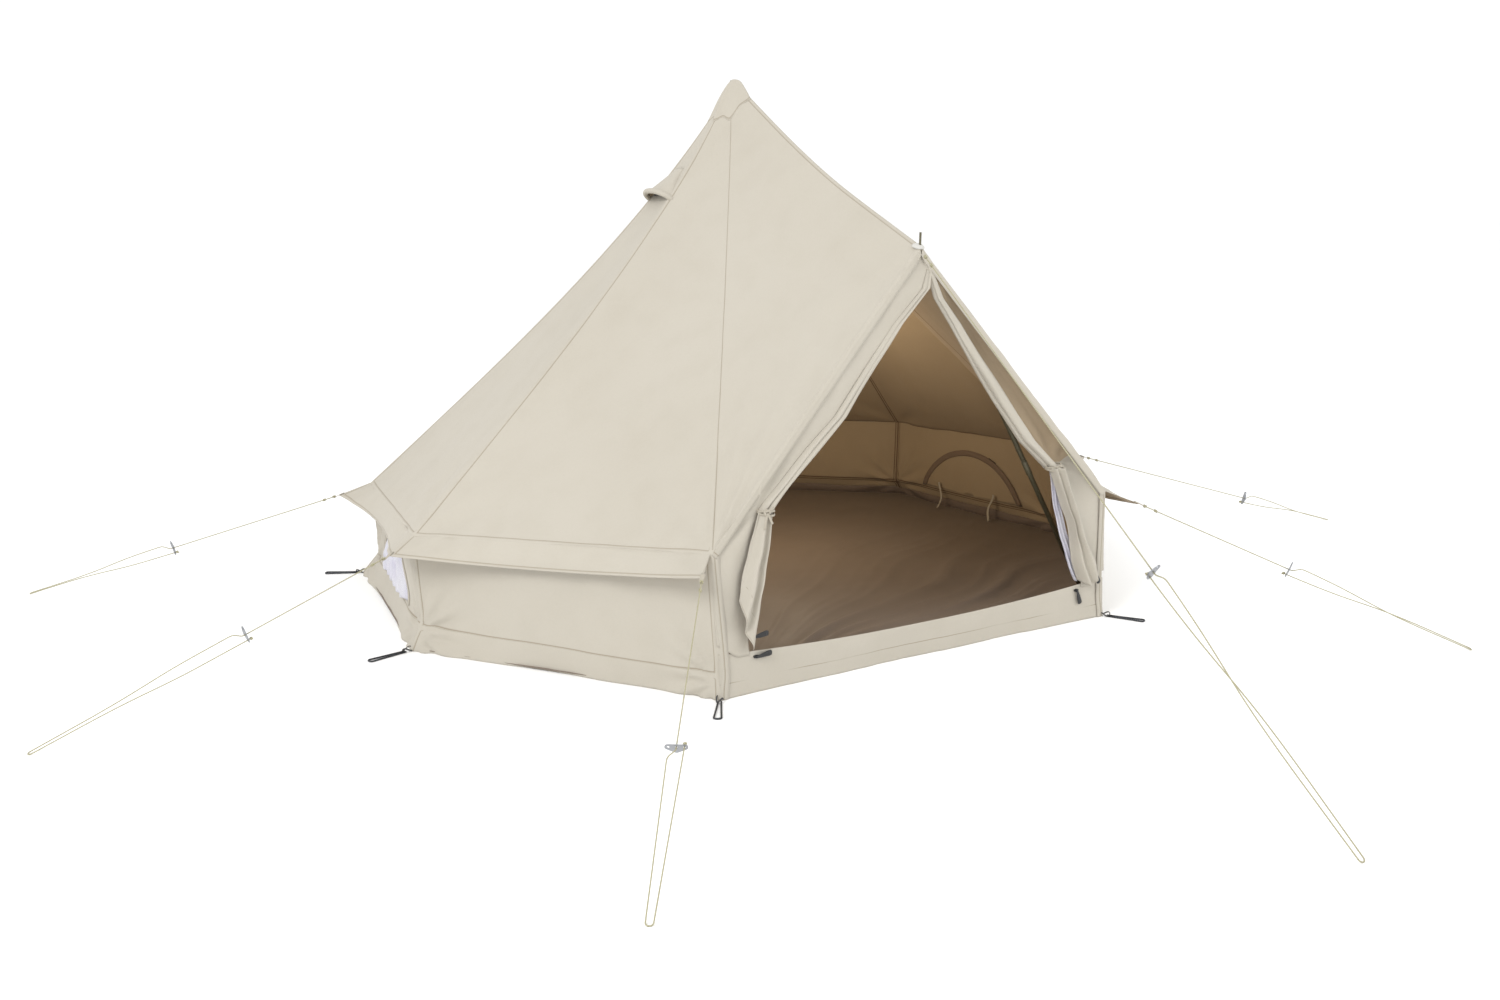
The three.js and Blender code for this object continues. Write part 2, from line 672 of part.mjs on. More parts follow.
// The pull tab lies in front of its slider: level on the left, hanging on the right.
function zipPuller(side) {
  const { x, z, pull } = ZIP;
  const y = doorY(z) - 10.5;
  const outline = new THREE.Shape();
  outline.moveTo(-4, -3);
  outline.lineTo(pull * 0.5, -5);
  outline.absarc(pull - 7, 0, 7, -Math.PI / 2, Math.PI / 2, false);
  outline.lineTo(pull * 0.5, 5);
  outline.lineTo(-4, 3);
  const hole = new THREE.Path();
  hole.absarc(pull - 7, 0, 3, 0, 2 * Math.PI, true);
  outline.holes.push(hole);
  const geometry = new THREE.ExtrudeGeometry(outline, { depth: 4, bevelEnabled: false, curveSegments: 6 });
  geometry.rotateX(Math.PI / 2);
  const name = side < 0 ? 'zip_puller_left' : 'zip_puller_right';
  const mesh = addMesh(name, geometry, 'blackPlastic');
  mesh.position.set(side * x, y + 2, z);
  mesh.rotation.y = THREE.MathUtils.degToRad(side < 0 ? -8 : 72);
}

// ---- Assembly ----
sides.forEach(([left, right], i) => {
  addMesh(`roof_gore_${i + 1}`, roofGore(left, right), 'canvas');
  const hasWindow = i === 1 || i === 5;
  addMesh(`wall_panel_${i + 1}`, hasWindow ? windowWall(left, right) : wallPanel(left, right), 'canvas');
});
addMesh('roof_wing_left', roofWing(corners[0]), 'canvas');
addMesh('roof_wing_right', roofWing(corners[7]), 'canvas');
addMesh('peak_cap', peakCap(), 'canvas');
addMesh('vent_hood_left', ventHood(corners[1], corners[2]), 'canvas');
addMesh('vent_hood_right', ventHood(corners[5], corners[6]), 'canvas');
addMesh('door_sill', doorSill(), 'canvas');
addMesh('door_flap_left', doorFlap(-1), 'canvas');
addMesh('door_flap_right', doorFlap(1), 'canvas');

for (const [label, i] of [['left', 1], ['right', 5]]) {
  const [from, to] = sides[i];
  const netting = archPlate(from, to, WINDOW.radius - 0.6, WINDOW.sill + 0.6, -0.8, 1.4);
  addMesh(`window_mesh_${label}`, netting, 'mesh');
}
addMesh('window_flap_left', openWindowFlap(corners[1], corners[2]), 'canvas');
addMesh(
  'window_flap_right',
  archPlate(corners[5], corners[6], WINDOW.radius + 26, WINDOW.sill - 6, -5, 2),
  'canvas',
);
addMesh('window_zip_slider', windowZipSlider(corners[5], corners[6]), 'blackPlastic');

addMesh('groundsheet', groundsheet(), 'groundsheet');
addMesh('groundsheet_rim', groundsheetRim(), 'groundsheet');

addMesh('pole_foot', poleFoot(), 'rubber');
addMesh('pole_lower', poleLower(), 'steel');
addMesh('pole_upper', poleUpper(), 'steel');
addMesh('aframe_leg_left', aframeLeg(-1), 'olive');
addMesh('aframe_leg_right', aframeLeg(1), 'olive');
addMesh('aframe_head', aframeHead(), 'olive');

for (const name of Object.keys(GUYS)) {
  addMesh(`guy_rope_${name}`, guyRope(name), 'rope');
  guyPlate(name);
}

corners.forEach((corner, i) => {
  addMesh(`peg_${i + 1}`, peg(corner), 'darkSteel');
});

for (const [label, side] of [['left', -1], ['right', 1]]) {
  addMesh(`sill_zip_slider_${label}`, zipSlider(side), 'blackPlastic');
  zipPuller(side);
}

export default tent;
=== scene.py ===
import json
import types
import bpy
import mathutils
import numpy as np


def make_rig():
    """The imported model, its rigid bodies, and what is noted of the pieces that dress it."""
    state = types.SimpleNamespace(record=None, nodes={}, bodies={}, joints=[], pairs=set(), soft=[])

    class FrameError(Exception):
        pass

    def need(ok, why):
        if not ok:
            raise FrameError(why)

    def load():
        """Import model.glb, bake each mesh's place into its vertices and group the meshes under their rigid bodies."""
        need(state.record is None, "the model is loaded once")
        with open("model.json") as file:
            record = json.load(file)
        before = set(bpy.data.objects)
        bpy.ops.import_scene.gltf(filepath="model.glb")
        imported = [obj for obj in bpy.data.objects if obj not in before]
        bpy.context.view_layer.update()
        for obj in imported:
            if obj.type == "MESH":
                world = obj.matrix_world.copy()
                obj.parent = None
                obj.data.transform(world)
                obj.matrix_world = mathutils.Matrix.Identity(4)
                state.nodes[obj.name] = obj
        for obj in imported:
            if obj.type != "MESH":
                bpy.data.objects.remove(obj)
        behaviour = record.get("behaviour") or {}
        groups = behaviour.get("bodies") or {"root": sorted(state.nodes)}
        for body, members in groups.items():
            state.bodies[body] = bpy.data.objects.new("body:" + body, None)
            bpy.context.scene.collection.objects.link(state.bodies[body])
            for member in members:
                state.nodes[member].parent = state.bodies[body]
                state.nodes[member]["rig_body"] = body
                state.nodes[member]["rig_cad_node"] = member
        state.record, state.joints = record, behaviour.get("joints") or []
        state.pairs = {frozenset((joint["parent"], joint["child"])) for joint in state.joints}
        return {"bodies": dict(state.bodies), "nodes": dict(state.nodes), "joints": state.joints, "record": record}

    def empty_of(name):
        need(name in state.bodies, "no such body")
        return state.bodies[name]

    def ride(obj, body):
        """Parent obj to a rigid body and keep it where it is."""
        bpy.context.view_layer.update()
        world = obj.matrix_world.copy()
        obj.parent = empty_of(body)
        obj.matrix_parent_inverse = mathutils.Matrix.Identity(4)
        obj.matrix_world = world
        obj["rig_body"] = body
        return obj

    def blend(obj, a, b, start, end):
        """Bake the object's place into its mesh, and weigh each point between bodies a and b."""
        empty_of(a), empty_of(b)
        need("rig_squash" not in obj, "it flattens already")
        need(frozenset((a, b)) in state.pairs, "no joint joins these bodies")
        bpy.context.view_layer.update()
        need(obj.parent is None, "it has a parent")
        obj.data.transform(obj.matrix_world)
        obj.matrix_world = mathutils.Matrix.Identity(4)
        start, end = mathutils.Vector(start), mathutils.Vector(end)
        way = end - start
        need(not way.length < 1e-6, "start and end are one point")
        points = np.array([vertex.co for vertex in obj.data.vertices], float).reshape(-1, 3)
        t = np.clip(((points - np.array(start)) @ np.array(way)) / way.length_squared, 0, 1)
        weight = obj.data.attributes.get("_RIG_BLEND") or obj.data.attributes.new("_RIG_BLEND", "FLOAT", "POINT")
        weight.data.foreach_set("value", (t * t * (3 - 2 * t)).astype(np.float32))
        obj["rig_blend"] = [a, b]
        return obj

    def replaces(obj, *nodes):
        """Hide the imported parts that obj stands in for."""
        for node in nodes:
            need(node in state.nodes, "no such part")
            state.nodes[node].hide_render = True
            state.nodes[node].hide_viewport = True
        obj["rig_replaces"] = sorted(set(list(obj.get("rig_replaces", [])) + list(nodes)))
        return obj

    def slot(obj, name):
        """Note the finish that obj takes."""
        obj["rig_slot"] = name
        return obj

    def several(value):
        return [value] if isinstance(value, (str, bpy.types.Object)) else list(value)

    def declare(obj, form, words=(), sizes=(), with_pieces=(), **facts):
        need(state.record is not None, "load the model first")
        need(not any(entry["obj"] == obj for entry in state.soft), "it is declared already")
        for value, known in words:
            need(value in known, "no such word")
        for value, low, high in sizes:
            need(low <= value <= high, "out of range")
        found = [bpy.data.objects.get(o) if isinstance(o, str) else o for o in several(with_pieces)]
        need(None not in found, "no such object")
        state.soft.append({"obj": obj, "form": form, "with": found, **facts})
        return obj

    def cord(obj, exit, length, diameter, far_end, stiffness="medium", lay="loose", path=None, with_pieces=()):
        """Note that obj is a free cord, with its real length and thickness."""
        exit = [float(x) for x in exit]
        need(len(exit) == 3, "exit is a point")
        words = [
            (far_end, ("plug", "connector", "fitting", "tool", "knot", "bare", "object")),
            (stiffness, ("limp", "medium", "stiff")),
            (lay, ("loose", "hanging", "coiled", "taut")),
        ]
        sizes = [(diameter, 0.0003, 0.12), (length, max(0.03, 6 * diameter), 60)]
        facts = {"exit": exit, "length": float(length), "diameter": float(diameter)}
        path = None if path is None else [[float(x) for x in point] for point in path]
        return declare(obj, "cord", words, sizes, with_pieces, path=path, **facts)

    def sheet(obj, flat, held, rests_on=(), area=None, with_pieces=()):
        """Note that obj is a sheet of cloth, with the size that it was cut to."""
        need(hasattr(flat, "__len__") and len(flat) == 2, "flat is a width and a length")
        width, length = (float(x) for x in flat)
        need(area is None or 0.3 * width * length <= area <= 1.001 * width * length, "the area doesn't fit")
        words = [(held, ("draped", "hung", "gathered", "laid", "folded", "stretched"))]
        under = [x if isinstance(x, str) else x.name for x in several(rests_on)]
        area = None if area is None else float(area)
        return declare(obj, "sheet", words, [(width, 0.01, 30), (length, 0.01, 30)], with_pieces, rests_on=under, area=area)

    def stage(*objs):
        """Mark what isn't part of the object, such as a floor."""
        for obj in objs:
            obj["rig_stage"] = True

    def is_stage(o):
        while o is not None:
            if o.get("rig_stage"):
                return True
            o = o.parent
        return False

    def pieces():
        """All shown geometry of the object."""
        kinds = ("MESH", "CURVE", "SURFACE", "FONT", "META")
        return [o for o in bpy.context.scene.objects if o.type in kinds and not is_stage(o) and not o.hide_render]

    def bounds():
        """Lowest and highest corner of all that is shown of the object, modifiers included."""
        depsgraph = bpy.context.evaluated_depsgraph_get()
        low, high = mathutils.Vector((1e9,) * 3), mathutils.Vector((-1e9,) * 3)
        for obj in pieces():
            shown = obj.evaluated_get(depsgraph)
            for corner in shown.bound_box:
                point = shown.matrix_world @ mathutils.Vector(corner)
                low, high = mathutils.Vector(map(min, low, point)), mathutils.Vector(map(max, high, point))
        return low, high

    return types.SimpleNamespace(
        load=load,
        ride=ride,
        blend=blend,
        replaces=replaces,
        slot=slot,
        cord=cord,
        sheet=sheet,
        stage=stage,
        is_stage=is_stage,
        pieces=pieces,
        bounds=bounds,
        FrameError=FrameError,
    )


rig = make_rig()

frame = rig.load()

import json
import math
import bpy
from mathutils import Matrix, Vector, noise

cad_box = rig.bounds()

# ---- Driving dimensions: metres, +Z up, the door faces -Y, the same values as the frame's ----
UP = Vector((0, 0, 1))
RIGHT = Vector((1, 0, 0))
APEX = Vector((0, 0.020, 1.990))
PORCH = Vector((0, -1.241, 1.396))
RIDGE_SAG = 0.075
PORCH_SAG = 0.030
SAG_POWER = 0.7565            # puts the deepest point of a ridge's sag 0.4 of the way down
FOLD_HEIGHT = 0.095
FOLD_INSET = 0.004
CLOTH = 0.0016                # thickness of the canvas
FLOOR_TOP = 0.005
ROPE_RADIUS = 0.0019
ROPE_LOOP = 0.0095            # radius of the loop that a guy rope's peg goes through
PLATE_SPACING = 0.021

# Each kind of corner stands on the left and on the right: degrees round from the door's middle,
# eave radius and height, hem radius, then the guy tip's angle, radius and height.
CORNER_KINDS = [
    (31.8, 1.547, 0.476, 1.570, 33.3, 1.674, 0.436),
    (77.0, 1.540, 0.415, 1.580, 75.7, 1.655, 0.371),
    (117.2, 1.538, 0.392, 1.600, 116.2, 1.667, 0.347),
    (159.0, 1.538, 0.388, 1.600, 159.0, 1.667, 0.347),
]

# Each guy rope's corner, where it meets the ground, its plate's place along it, and how the plate lies.
GUYS = {
    "front_left": (0, (-1.608, -2.420), 0.56, "level"),
    "side_left": (1, (-2.748, -0.659), 0.43, "upright"),
    "rear_left": (2, (-2.664, 1.136), 0.54, "upright"),
    "side_right": (6, (2.820, -0.818), 0.64, "upright"),
    "front_right": (7, (1.642, -2.282), 0.46, "upright"),
    "door": (None, (-0.011, -3.045), 0.60, "upright"),
}


# ---- Small helpers ----
def mix(a, b, t):
    return a + (b - a) * t


def smooth(t):
    t = min(max(t, 0.0), 1.0)
    return t * t * (3 - 2 * t)


def evenly(count):
    """Even steps from 0 to 1, with both ends."""
    return [k / count for k in range(count + 1)]


def ring(centre, side, other, radius, sides, flat=1.0):
    """Places round a circle, or round an ellipse where flat squashes it."""
    turns = [2 * math.pi * k / sides for k in range(sides)]
    return [centre + (side * math.cos(turn) + other * (flat * math.sin(turn))) * radius for turn in turns]


def polar(angle, radius, height=0.0):
    turn = math.radians(angle)
    return Vector((radius * math.cos(turn), radius * math.sin(turn), height))


def lookup(table, x):
    """Reads a table of (x, value) rows, x rising, in straight lines between its rows."""
    if x <= table[0][0]:
        return table[0][1]
    for (x0, y0), (x1, y1) in zip(table, table[1:]):
        if x <= x1:
            return mix(y0, y1, (x - x0) / (x1 - x0))
    return table[-1][1]


def wobble(x, y=0.0, z=0.0):
    """A smooth repeatable value from about -1 to 1."""
    return noise.noise(Vector((x, y, z)))


def rough(place, scale, height, seed=0.0):
    """A smooth repeatable bump height at a place."""
    return height * noise.noise(place * scale + Vector((seed, 2 * seed, 3 * seed)))


def running(path):
    """How far along a path each of its points is."""
    total = [0.0]
    for a, b in zip(path, path[1:]):
        total.append(total[-1] + (b - a).length)
    return total


# ---- Camera ----
CAMERA_PLACE = Vector((-2.742, -4.830, 1.589))
CAMERA_YAW = 30.15
CAMERA_PITCH = 13.2
CAMERA_ROLL = -0.42
SENSOR = 36.0
FOCAL = 1334.2 / 1500 * SENSOR


def make_camera():
    yaw, pitch, roll = (math.radians(a) for a in (CAMERA_YAW, CAMERA_PITCH, CAMERA_ROLL))
    ahead = Vector((math.sin(yaw) * math.cos(pitch), math.cos(yaw) * math.cos(pitch), -math.sin(pitch)))
    level = ahead.cross(UP).normalized()
    upright = level.cross(ahead)
    right = level * math.cos(roll) + upright * math.sin(roll)
    top = upright * math.cos(roll) - level * math.sin(roll)
    data = bpy.data.cameras.new("camera")
    data.sensor_width = SENSOR
    data.lens = FOCAL
    data.clip_end = 200
    camera = bpy.data.objects.new("camera", data)
    camera.matrix_world = Matrix((right, top, -ahead)).transposed().to_4x4()
    camera.location = CAMERA_PLACE
    bpy.context.scene.collection.objects.link(camera)
    bpy.context.scene.camera = camera


# ---- Materials ----
class Finish:
    """A node material being put together around one Principled shader."""

    def __init__(self, name, colour, roughness, metallic=0.0, sheen=0.0):
        self.material = bpy.data.materials.new(name)
        self.material.use_nodes = True
        self.tree = self.material.node_tree
        self.shader = self.tree.nodes["Principled BSDF"]
        self.base = (*colour, 1)
        settings = {"Base Color": self.base, "Roughness": roughness, "Metallic": metallic, "Sheen Weight": sheen}
        for key, value in settings.items():
            self.shader.inputs[key].default_value = value
        self.colour = None
        self.height = None
        self.place = self.node("ShaderNodeTexCoord").outputs["Object"]

    def node(self, kind, inputs=(), **settings):
        """Adds a node. inputs pairs each socket's name or number with a constant or a source."""
        made = self.tree.nodes.new(kind)
        for key, value in settings.items():
            setattr(made, key, value)
        for key, value in inputs:
            if isinstance(value, bpy.types.NodeSocket):
                self.link(value, made.inputs[key])
            elif value is not None:
                made.inputs[key].default_value = value
        return made

    def link(self, source, target):
        self.tree.links.new(source, target)

    def math(self, operation, first, second=None, clamp=False):
        inputs = ((0, first), (1, second))
        return self.node("ShaderNodeMath", inputs, operation=operation, use_clamp=clamp).outputs[0]

    def noise(self, scale, detail=2.0, stretch=(1, 1, 1), place=None):
        mapping = self.node("ShaderNodeMapping", (("Scale", stretch), ("Vector", place or self.place)))
        inputs = (("Scale", scale), ("Detail", detail), ("Vector", mapping.outputs[0]))
        return self.node("ShaderNodeTexNoise", inputs).outputs["Fac"]

    def wave(self, period, axis, place):
        inputs = (("Scale", 2 * math.pi / (20 * period)), ("Vector", place))
        return self.node("ShaderNodeTexWave", inputs, wave_type="BANDS", bands_direction=axis).outputs["Fac"]

    def named(self, attribute, output="Vector"):
        return self.node("ShaderNodeAttribute", attribute_name=attribute).outputs[output]

    def ramp(self, value, low, high):
        """0 where the value is at low and 1 where it is at high."""
        inputs = (("From Min", low), ("From Max", high), ("Value", value))
        return self.node("ShaderNodeMapRange", inputs, clamp=True).outputs["Result"]

    def tint(self, amount, colour, share=1.0):
        """Multiplies the colour so far by another colour, by an amount from 0 to 1."""
        inputs = ((0, self.math("MULTIPLY", amount, share, clamp=True)), (6, self.colour or self.base),
                  (7, (*colour, 1)))
        self.colour = self.node("ShaderNodeMix", inputs, data_type="RGBA", blend_type="MULTIPLY").outputs[2]

    def mottle(self, scale, detail, low, high, colour, share=1.0):
        self.tint(self.ramp(self.noise(scale, detail), low, high), colour, share)

    def raise_by(self, value, share):
        part = self.math("MULTIPLY", value, share)
        self.height = part if self.height is None else self.math("ADD", self.height, part)

    def done(self, bump=0.3, depth=0.001):
        self.link(self.colour, self.shader.inputs["Base Color"])
        if self.height is not None:
            inputs = (("Strength", bump), ("Distance", depth), ("Height", self.height))
            self.link(self.node("ShaderNodeBump", inputs).outputs[0], self.shader.inputs["Normal"])
        return self.material


def woven(name, colour, seam=(0.66, 0.62, 0.56), period=0.0011, line_width=0.0022, bound=0.0):
    """Plain-weave cotton with slubs, soft tonal drift, felled seam lines and their stitches. Each seam line is partly
    the seam's own fold and partly painted shade at its step.
    """
    dark = (0.93, 0.92, 0.90)
    finish = Finish(name, colour, 0.88, sheen=0.06)
    cloth = finish.named("cloth")
    finish.mottle(1.1, 3, 0.35, 0.72, dark, 0.55)
    finish.mottle(9.0, 4, 0.45, 0.75, dark, 0.35)
    slubs = [finish.noise(1.0, 2, stretch, cloth) for stretch in ((900, 60, 1), (60, 900, 1))]
    for slub in slubs:
        finish.tint(finish.ramp(slub, 0.5, 0.8), dark, 0.6)
    edge, run = finish.named("edge", "Fac"), finish.named("run", "Fac")
    # The seam line: a dark line along the edge of the seam's raised band, partly the seam's own fold and partly
    # painted shade at the step.
    line = finish.math("ABSOLUTE", finish.math("SUBTRACT", edge, SEAM_LINE))
    finish.tint(finish.ramp(line, line_width, line_width * 0.3), seam)
    # bound darkens a band along each seam. Only the inside material uses it, as painted shade where the doubled cloth
    # lets less light through.
    if bound:
        finish.tint(finish.ramp(edge, bound, bound * 0.75), seam)
    stitch_line = finish.math("ABSOLUTE", finish.math("SUBTRACT", edge, STITCH_LINE))
    on_line = finish.ramp(stitch_line, 0.0010, 0.0005)
    dash = finish.math("GREATER_THAN", finish.math("FRACT", finish.math("DIVIDE", run, STITCH_LENGTH)), 0.35)
    finish.tint(finish.math("MULTIPLY", on_line, dash), seam, 0.8)
    for axis in "XY":
        finish.raise_by(finish.wave(period, axis, cloth), 0.25)
    for slub in slubs:
        finish.raise_by(slub, 0.6)
    finish.raise_by(finish.noise(60, 3), 0.8)
    return finish.done(0.28, 0.0008)


def netting_material():
    finish = Finish("netting", (0.70, 0.695, 0.75), 0.75, sheen=0.1)
    cloth = finish.named("cloth")
    threads = finish.math("MAXIMUM", finish.wave(0.0016, "X", cloth), finish.wave(0.0016, "Y", cloth))
    finish.mottle(14, 3, 0.4, 0.7, (0.86, 0.85, 0.92))
    finish.raise_by(threads, 1.0)
    alpha = finish.math("ADD", finish.math("MULTIPLY", threads, 0.35), 0.45, clamp=True)
    finish.link(alpha, finish.shader.inputs["Alpha"])
    return finish.done(0.2, 0.0004)


def coated_material(name, colour):
    finish = Finish(name, colour, 0.55, sheen=0.05)
    cloth = finish.named("cloth")
    finish.mottle(1.3, 2, 0.35, 0.7, (0.93, 0.92, 0.91))
    finish.mottle(5, 2, 0.2, 0.9, (0.94, 0.93, 0.92))
    for axis in "XY":
        finish.raise_by(finish.wave(0.004, axis, cloth), 0.2)
    finish.raise_by(finish.noise(35, 4), 0.35)
    finish.link(finish.ramp(finish.noise(2, 2), -0.6, 1.1), finish.shader.inputs["Roughness"])
    return finish.done(0.3, 0.0015)


def rope_material():
    finish = Finish("rope", (0.40, 0.38, 0.26), 0.75, sheen=0.1)
    lay = finish.wave(0.0035, "DIAGONAL", finish.named("cloth"))
    # Darker in the grooves between the strands: painted shade in the rope's lay.
    finish.tint(finish.ramp(lay, 0.55, 0.1), (0.66, 0.62, 0.52))
    finish.mottle(120, 3, 0.5, 0.8, (0.85, 0.83, 0.78))
    finish.raise_by(lay, 1.0)
    return finish.done(0.6, 0.0005)


def metal_material(name, colour, roughness, metallic=1.0):
    finish = Finish(name, colour, roughness, metallic)
    finish.mottle(9, 4, 0.4, 0.75, (0.72, 0.72, 0.73))
    scratches = finish.noise(4, 4, (8, 8, 200))
    finish.tint(finish.ramp(scratches, 0.5, 0.8), (0.86, 0.86, 0.87))
    finish.raise_by(scratches, 0.6)
    worn = finish.math("ADD", finish.math("MULTIPLY", finish.noise(30, 4), 0.35), roughness - 0.17)
    finish.link(worn, finish.shader.inputs["Roughness"])
    return finish.done(0.15, 0.0004)


def plastic_material(name, colour, roughness):
    finish = Finish(name, colour, roughness)
    finish.mottle(90, 3, 0.4, 0.8, (0.75, 0.75, 0.76))
    finish.raise_by(finish.noise(900, 2), 0.6)
    finish.raise_by(finish.noise(70, 3), 0.4)
    return finish.done(0.25, 0.0003)


SEAM_LINE = 0.0128            # how far a felled seam's line and its stitches lie from the seam
STITCH_LINE = 0.0095
STITCH_LENGTH = 0.006

CANVAS = woven("canvas", (0.456, 0.424, 0.362))
PATCH = woven("patch", (0.54, 0.53, 0.50))
# The inside of the same cream canvas, painted a darker warm brown: painted shade of the dim inside, with the warm
# light that comes through the canvas. Its seam lines are painted darker still.
CANVAS_PAINTED_SHADE = woven("canvas_painted_shade", (0.37, 0.288, 0.192), (0.42, 0.35, 0.30), line_width=0.0030, bound=0.005)
WEBBING = woven("webbing", (0.40, 0.365, 0.30), period=0.0025)
ARCH_TAPE = woven("arch_tape", (0.20, 0.145, 0.105), period=0.0018)
DARK_WEBBING = woven("dark_webbing", (0.060, 0.058, 0.058), period=0.0025)
NETTING = netting_material()
GROUNDSHEET = coated_material("groundsheet", (0.190, 0.150, 0.118))
UNDERSIDE = coated_material("groundsheet_under", (0.17, 0.13, 0.105))
ROPE = rope_material()
PLATE_METAL = metal_material("plate_aluminium", (0.34, 0.35, 0.37), 0.38)
POLE_METAL = metal_material("pole_steel", (0.62, 0.63, 0.65), 0.32)
PEG_METAL = metal_material("peg_steel", (0.060, 0.062, 0.068), 0.42, metallic=0.8)
OLIVE_PAINT = metal_material("aframe_paint", (0.105, 0.093, 0.055), 0.45, metallic=0.3)
BLACK_PLASTIC = plastic_material("zip_black", (0.018, 0.018, 0.019), 0.42)
RUBBER = plastic_material("rubber", (0.022, 0.022, 0.022), 0.8)


# ---- Mesh building ----
def make_object(name, points, faces, materials, uvs=None, marks=None, slots=None):
    mesh = bpy.data.meshes.new(name)
    mesh.from_pydata([tuple(p) for p in points], [], faces)
    for material in materials:
        mesh.materials.append(material)
    if uvs:
        layer = mesh.uv_layers.new(name="cloth")
        layer.data.foreach_set("uv", [value for face in uvs for pair in face for value in pair])
    if marks:
        for label, column in (("edge", 0), ("run", 1)):
            attribute = mesh.attributes.new(label, "FLOAT", "POINT")
            attribute.data.foreach_set("value", [mark[column] for mark in marks])
    if slots:
        mesh.polygons.foreach_set("material_index", slots)
    mesh.polygons.foreach_set("use_smooth", [True] * len(mesh.polygons))
    mesh.update()
    made = bpy.data.objects.new(name, mesh)
    bpy.context.scene.collection.objects.link(made)
    return made


class Cloth:
    """Collects the outer face of a sheet of cloth, then closes it into one mesh of real thickness."""

    def __init__(self, middle=Vector((0, 0, 0.4))):
        self.points = []
        self.marks = []
        self.faces = []
        self.uvs = []
        self.middle = middle

    def add(self, place, edge=1.0, run=0.0):
        """Adds a point, with its distance from a seam and how far along the seam it lies."""
        self.points.append(place)
        self.marks.append((edge, run))
        return len(self.points) - 1

    def add_row(self, shared, keys, places, edges, edge, runs):
        """Adds a panel's row of places. Its ends, which have keys, are shared with the panels beside it."""
        row = []
        for c, (place, near, run) in enumerate(zip(places, edges, runs)):
            key = keys[0] if c == 0 else keys[1] if c == len(places) - 1 else None
            if key in shared:
                row.append(shared[key])
                continue
            row.append(self.add(place, min(near, edge), run))
            if key:
                shared[key] = row[-1]
        return row

    def weave(self, rows, keep=None):
        """Joins rows of point numbers into squares, with cloth coordinates in metres."""
        across = [running([self.points[i] for i in row]) for row in rows]
        down = running([self.points[row[len(row) // 2]] for row in rows])
        for r in range(len(rows) - 1):
            for c in range(len(rows[0]) - 1):
                if keep and not keep(r, c):
                    continue
                corners = ((r, c), (r, c + 1), (r + 1, c + 1), (r + 1, c))
                self.faces.append([rows[a][b] for a, b in corners])
                self.uvs.append([(across[a][b] - across[a][-1] / 2, down[a]) for a, b in corners])

    def grid(self, places, closed=False):
        """Weaves rows of points, each alone or with its marks. Closed rows meet their own start."""
        rows = [[self.add(*p) if isinstance(p, tuple) else self.add(p) for p in row] for row in places]
        if closed:
            rows = [[*row, row[0]] for row in rows]
        self.weave(rows)
        return rows

    def lay(self, rows, columns, place):
        """Weaves a grid from a function of how far down and how far across a point is, from 0 to 1."""
        self.grid([[place(down, across) for across in evenly(columns)] for down in evenly(rows)])

    def close_middle(self, around, middle):
        """Fills the small hole left in the middle of a closed row."""
        top = self.add(middle)
        count = len(around) - 1
        for c in range(0, count, 2):
            self.faces.append([around[c], around[c + 1], around[(c + 2) % count], top])
            self.uvs.append([(0, 0), (0.01, 0), (0.02, 0), (0.01, 0.01)])

    def area(self, digits=3):
        total = 0.0
        for a, b, c, d in self.faces:
            total += (self.points[c] - self.points[a]).cross(self.points[d] - self.points[b]).length / 2
        return round(total, digits)

    def build(self, name, outside, inside=None, thickness=CLOTH, slot="canvas", turned=(), stands_for=(), **sheet):
        used = sorted({i for face in self.faces for i in face})
        number = {old: new for new, old in enumerate(used)}
        points = [self.points[i] for i in used]
        marks = [self.marks[i] for i in used]
        faces = [[number[i] for i in face] for face in self.faces]
        uvs = self.uvs
        normals, facing = self.normals(points, faces)
        if facing < 0:
            faces = [face[::-1] for face in faces]
            uvs = [pairs[::-1] for pairs in uvs]
            normals = [-n for n in normals]
        count = len(points)
        points = points + [p - n * thickness for p, n in zip(points, normals)]
        back = [[a + count, d + count, c + count, b + count] for a, b, c, d in faces]
        around = {(face[i], face[(i + 1) % 4]): pairs[i] for face, pairs in zip(faces, uvs) for i in range(4)}
        open_edges = [(a, b) for a, b in around if (b, a) not in around]
        rim = [[b, a, a + count, b + count] for a, b in open_edges]
        # Faces listed in turned show the second material, the painted shade, on their outer side.
        slots = [int(f in turned) for f in range(len(faces))] + [1 if inside else 0] * len(back) + [0] * len(rim)
        materials = [outside, inside] if inside else [outside]
        all_uvs = uvs + [[a, d, c, b] for a, b, c, d in uvs] + [[around[edge]] * 4 for edge in open_edges]
        made = make_object(name, points, faces + back + rim, materials, all_uvs, marks + marks, slots)
        settle(made, "tent", slot, stands_for)
        if sheet:
            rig.sheet(made, **sheet)
        return made

    def normals(self, points, faces):
        sums = [Vector() for _ in points]
        facing = 0.0
        for face in faces:
            a, b, c, d = (points[i] for i in face)
            normal = (c - a).cross(d - b)
            facing += normal.dot((a + b + c + d) / 4 - self.middle)
            for i in face:
                sums[i] += normal
        return [n.normalized() for n in sums], facing


def settle(made, body, slot, stands_for):
    """Says which body a piece rides on, its material slot, and the plain CAD solids it stands for."""
    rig.ride(made, body)
    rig.slot(made, slot)
    if stands_for:
        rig.replaces(made, *stands_for)


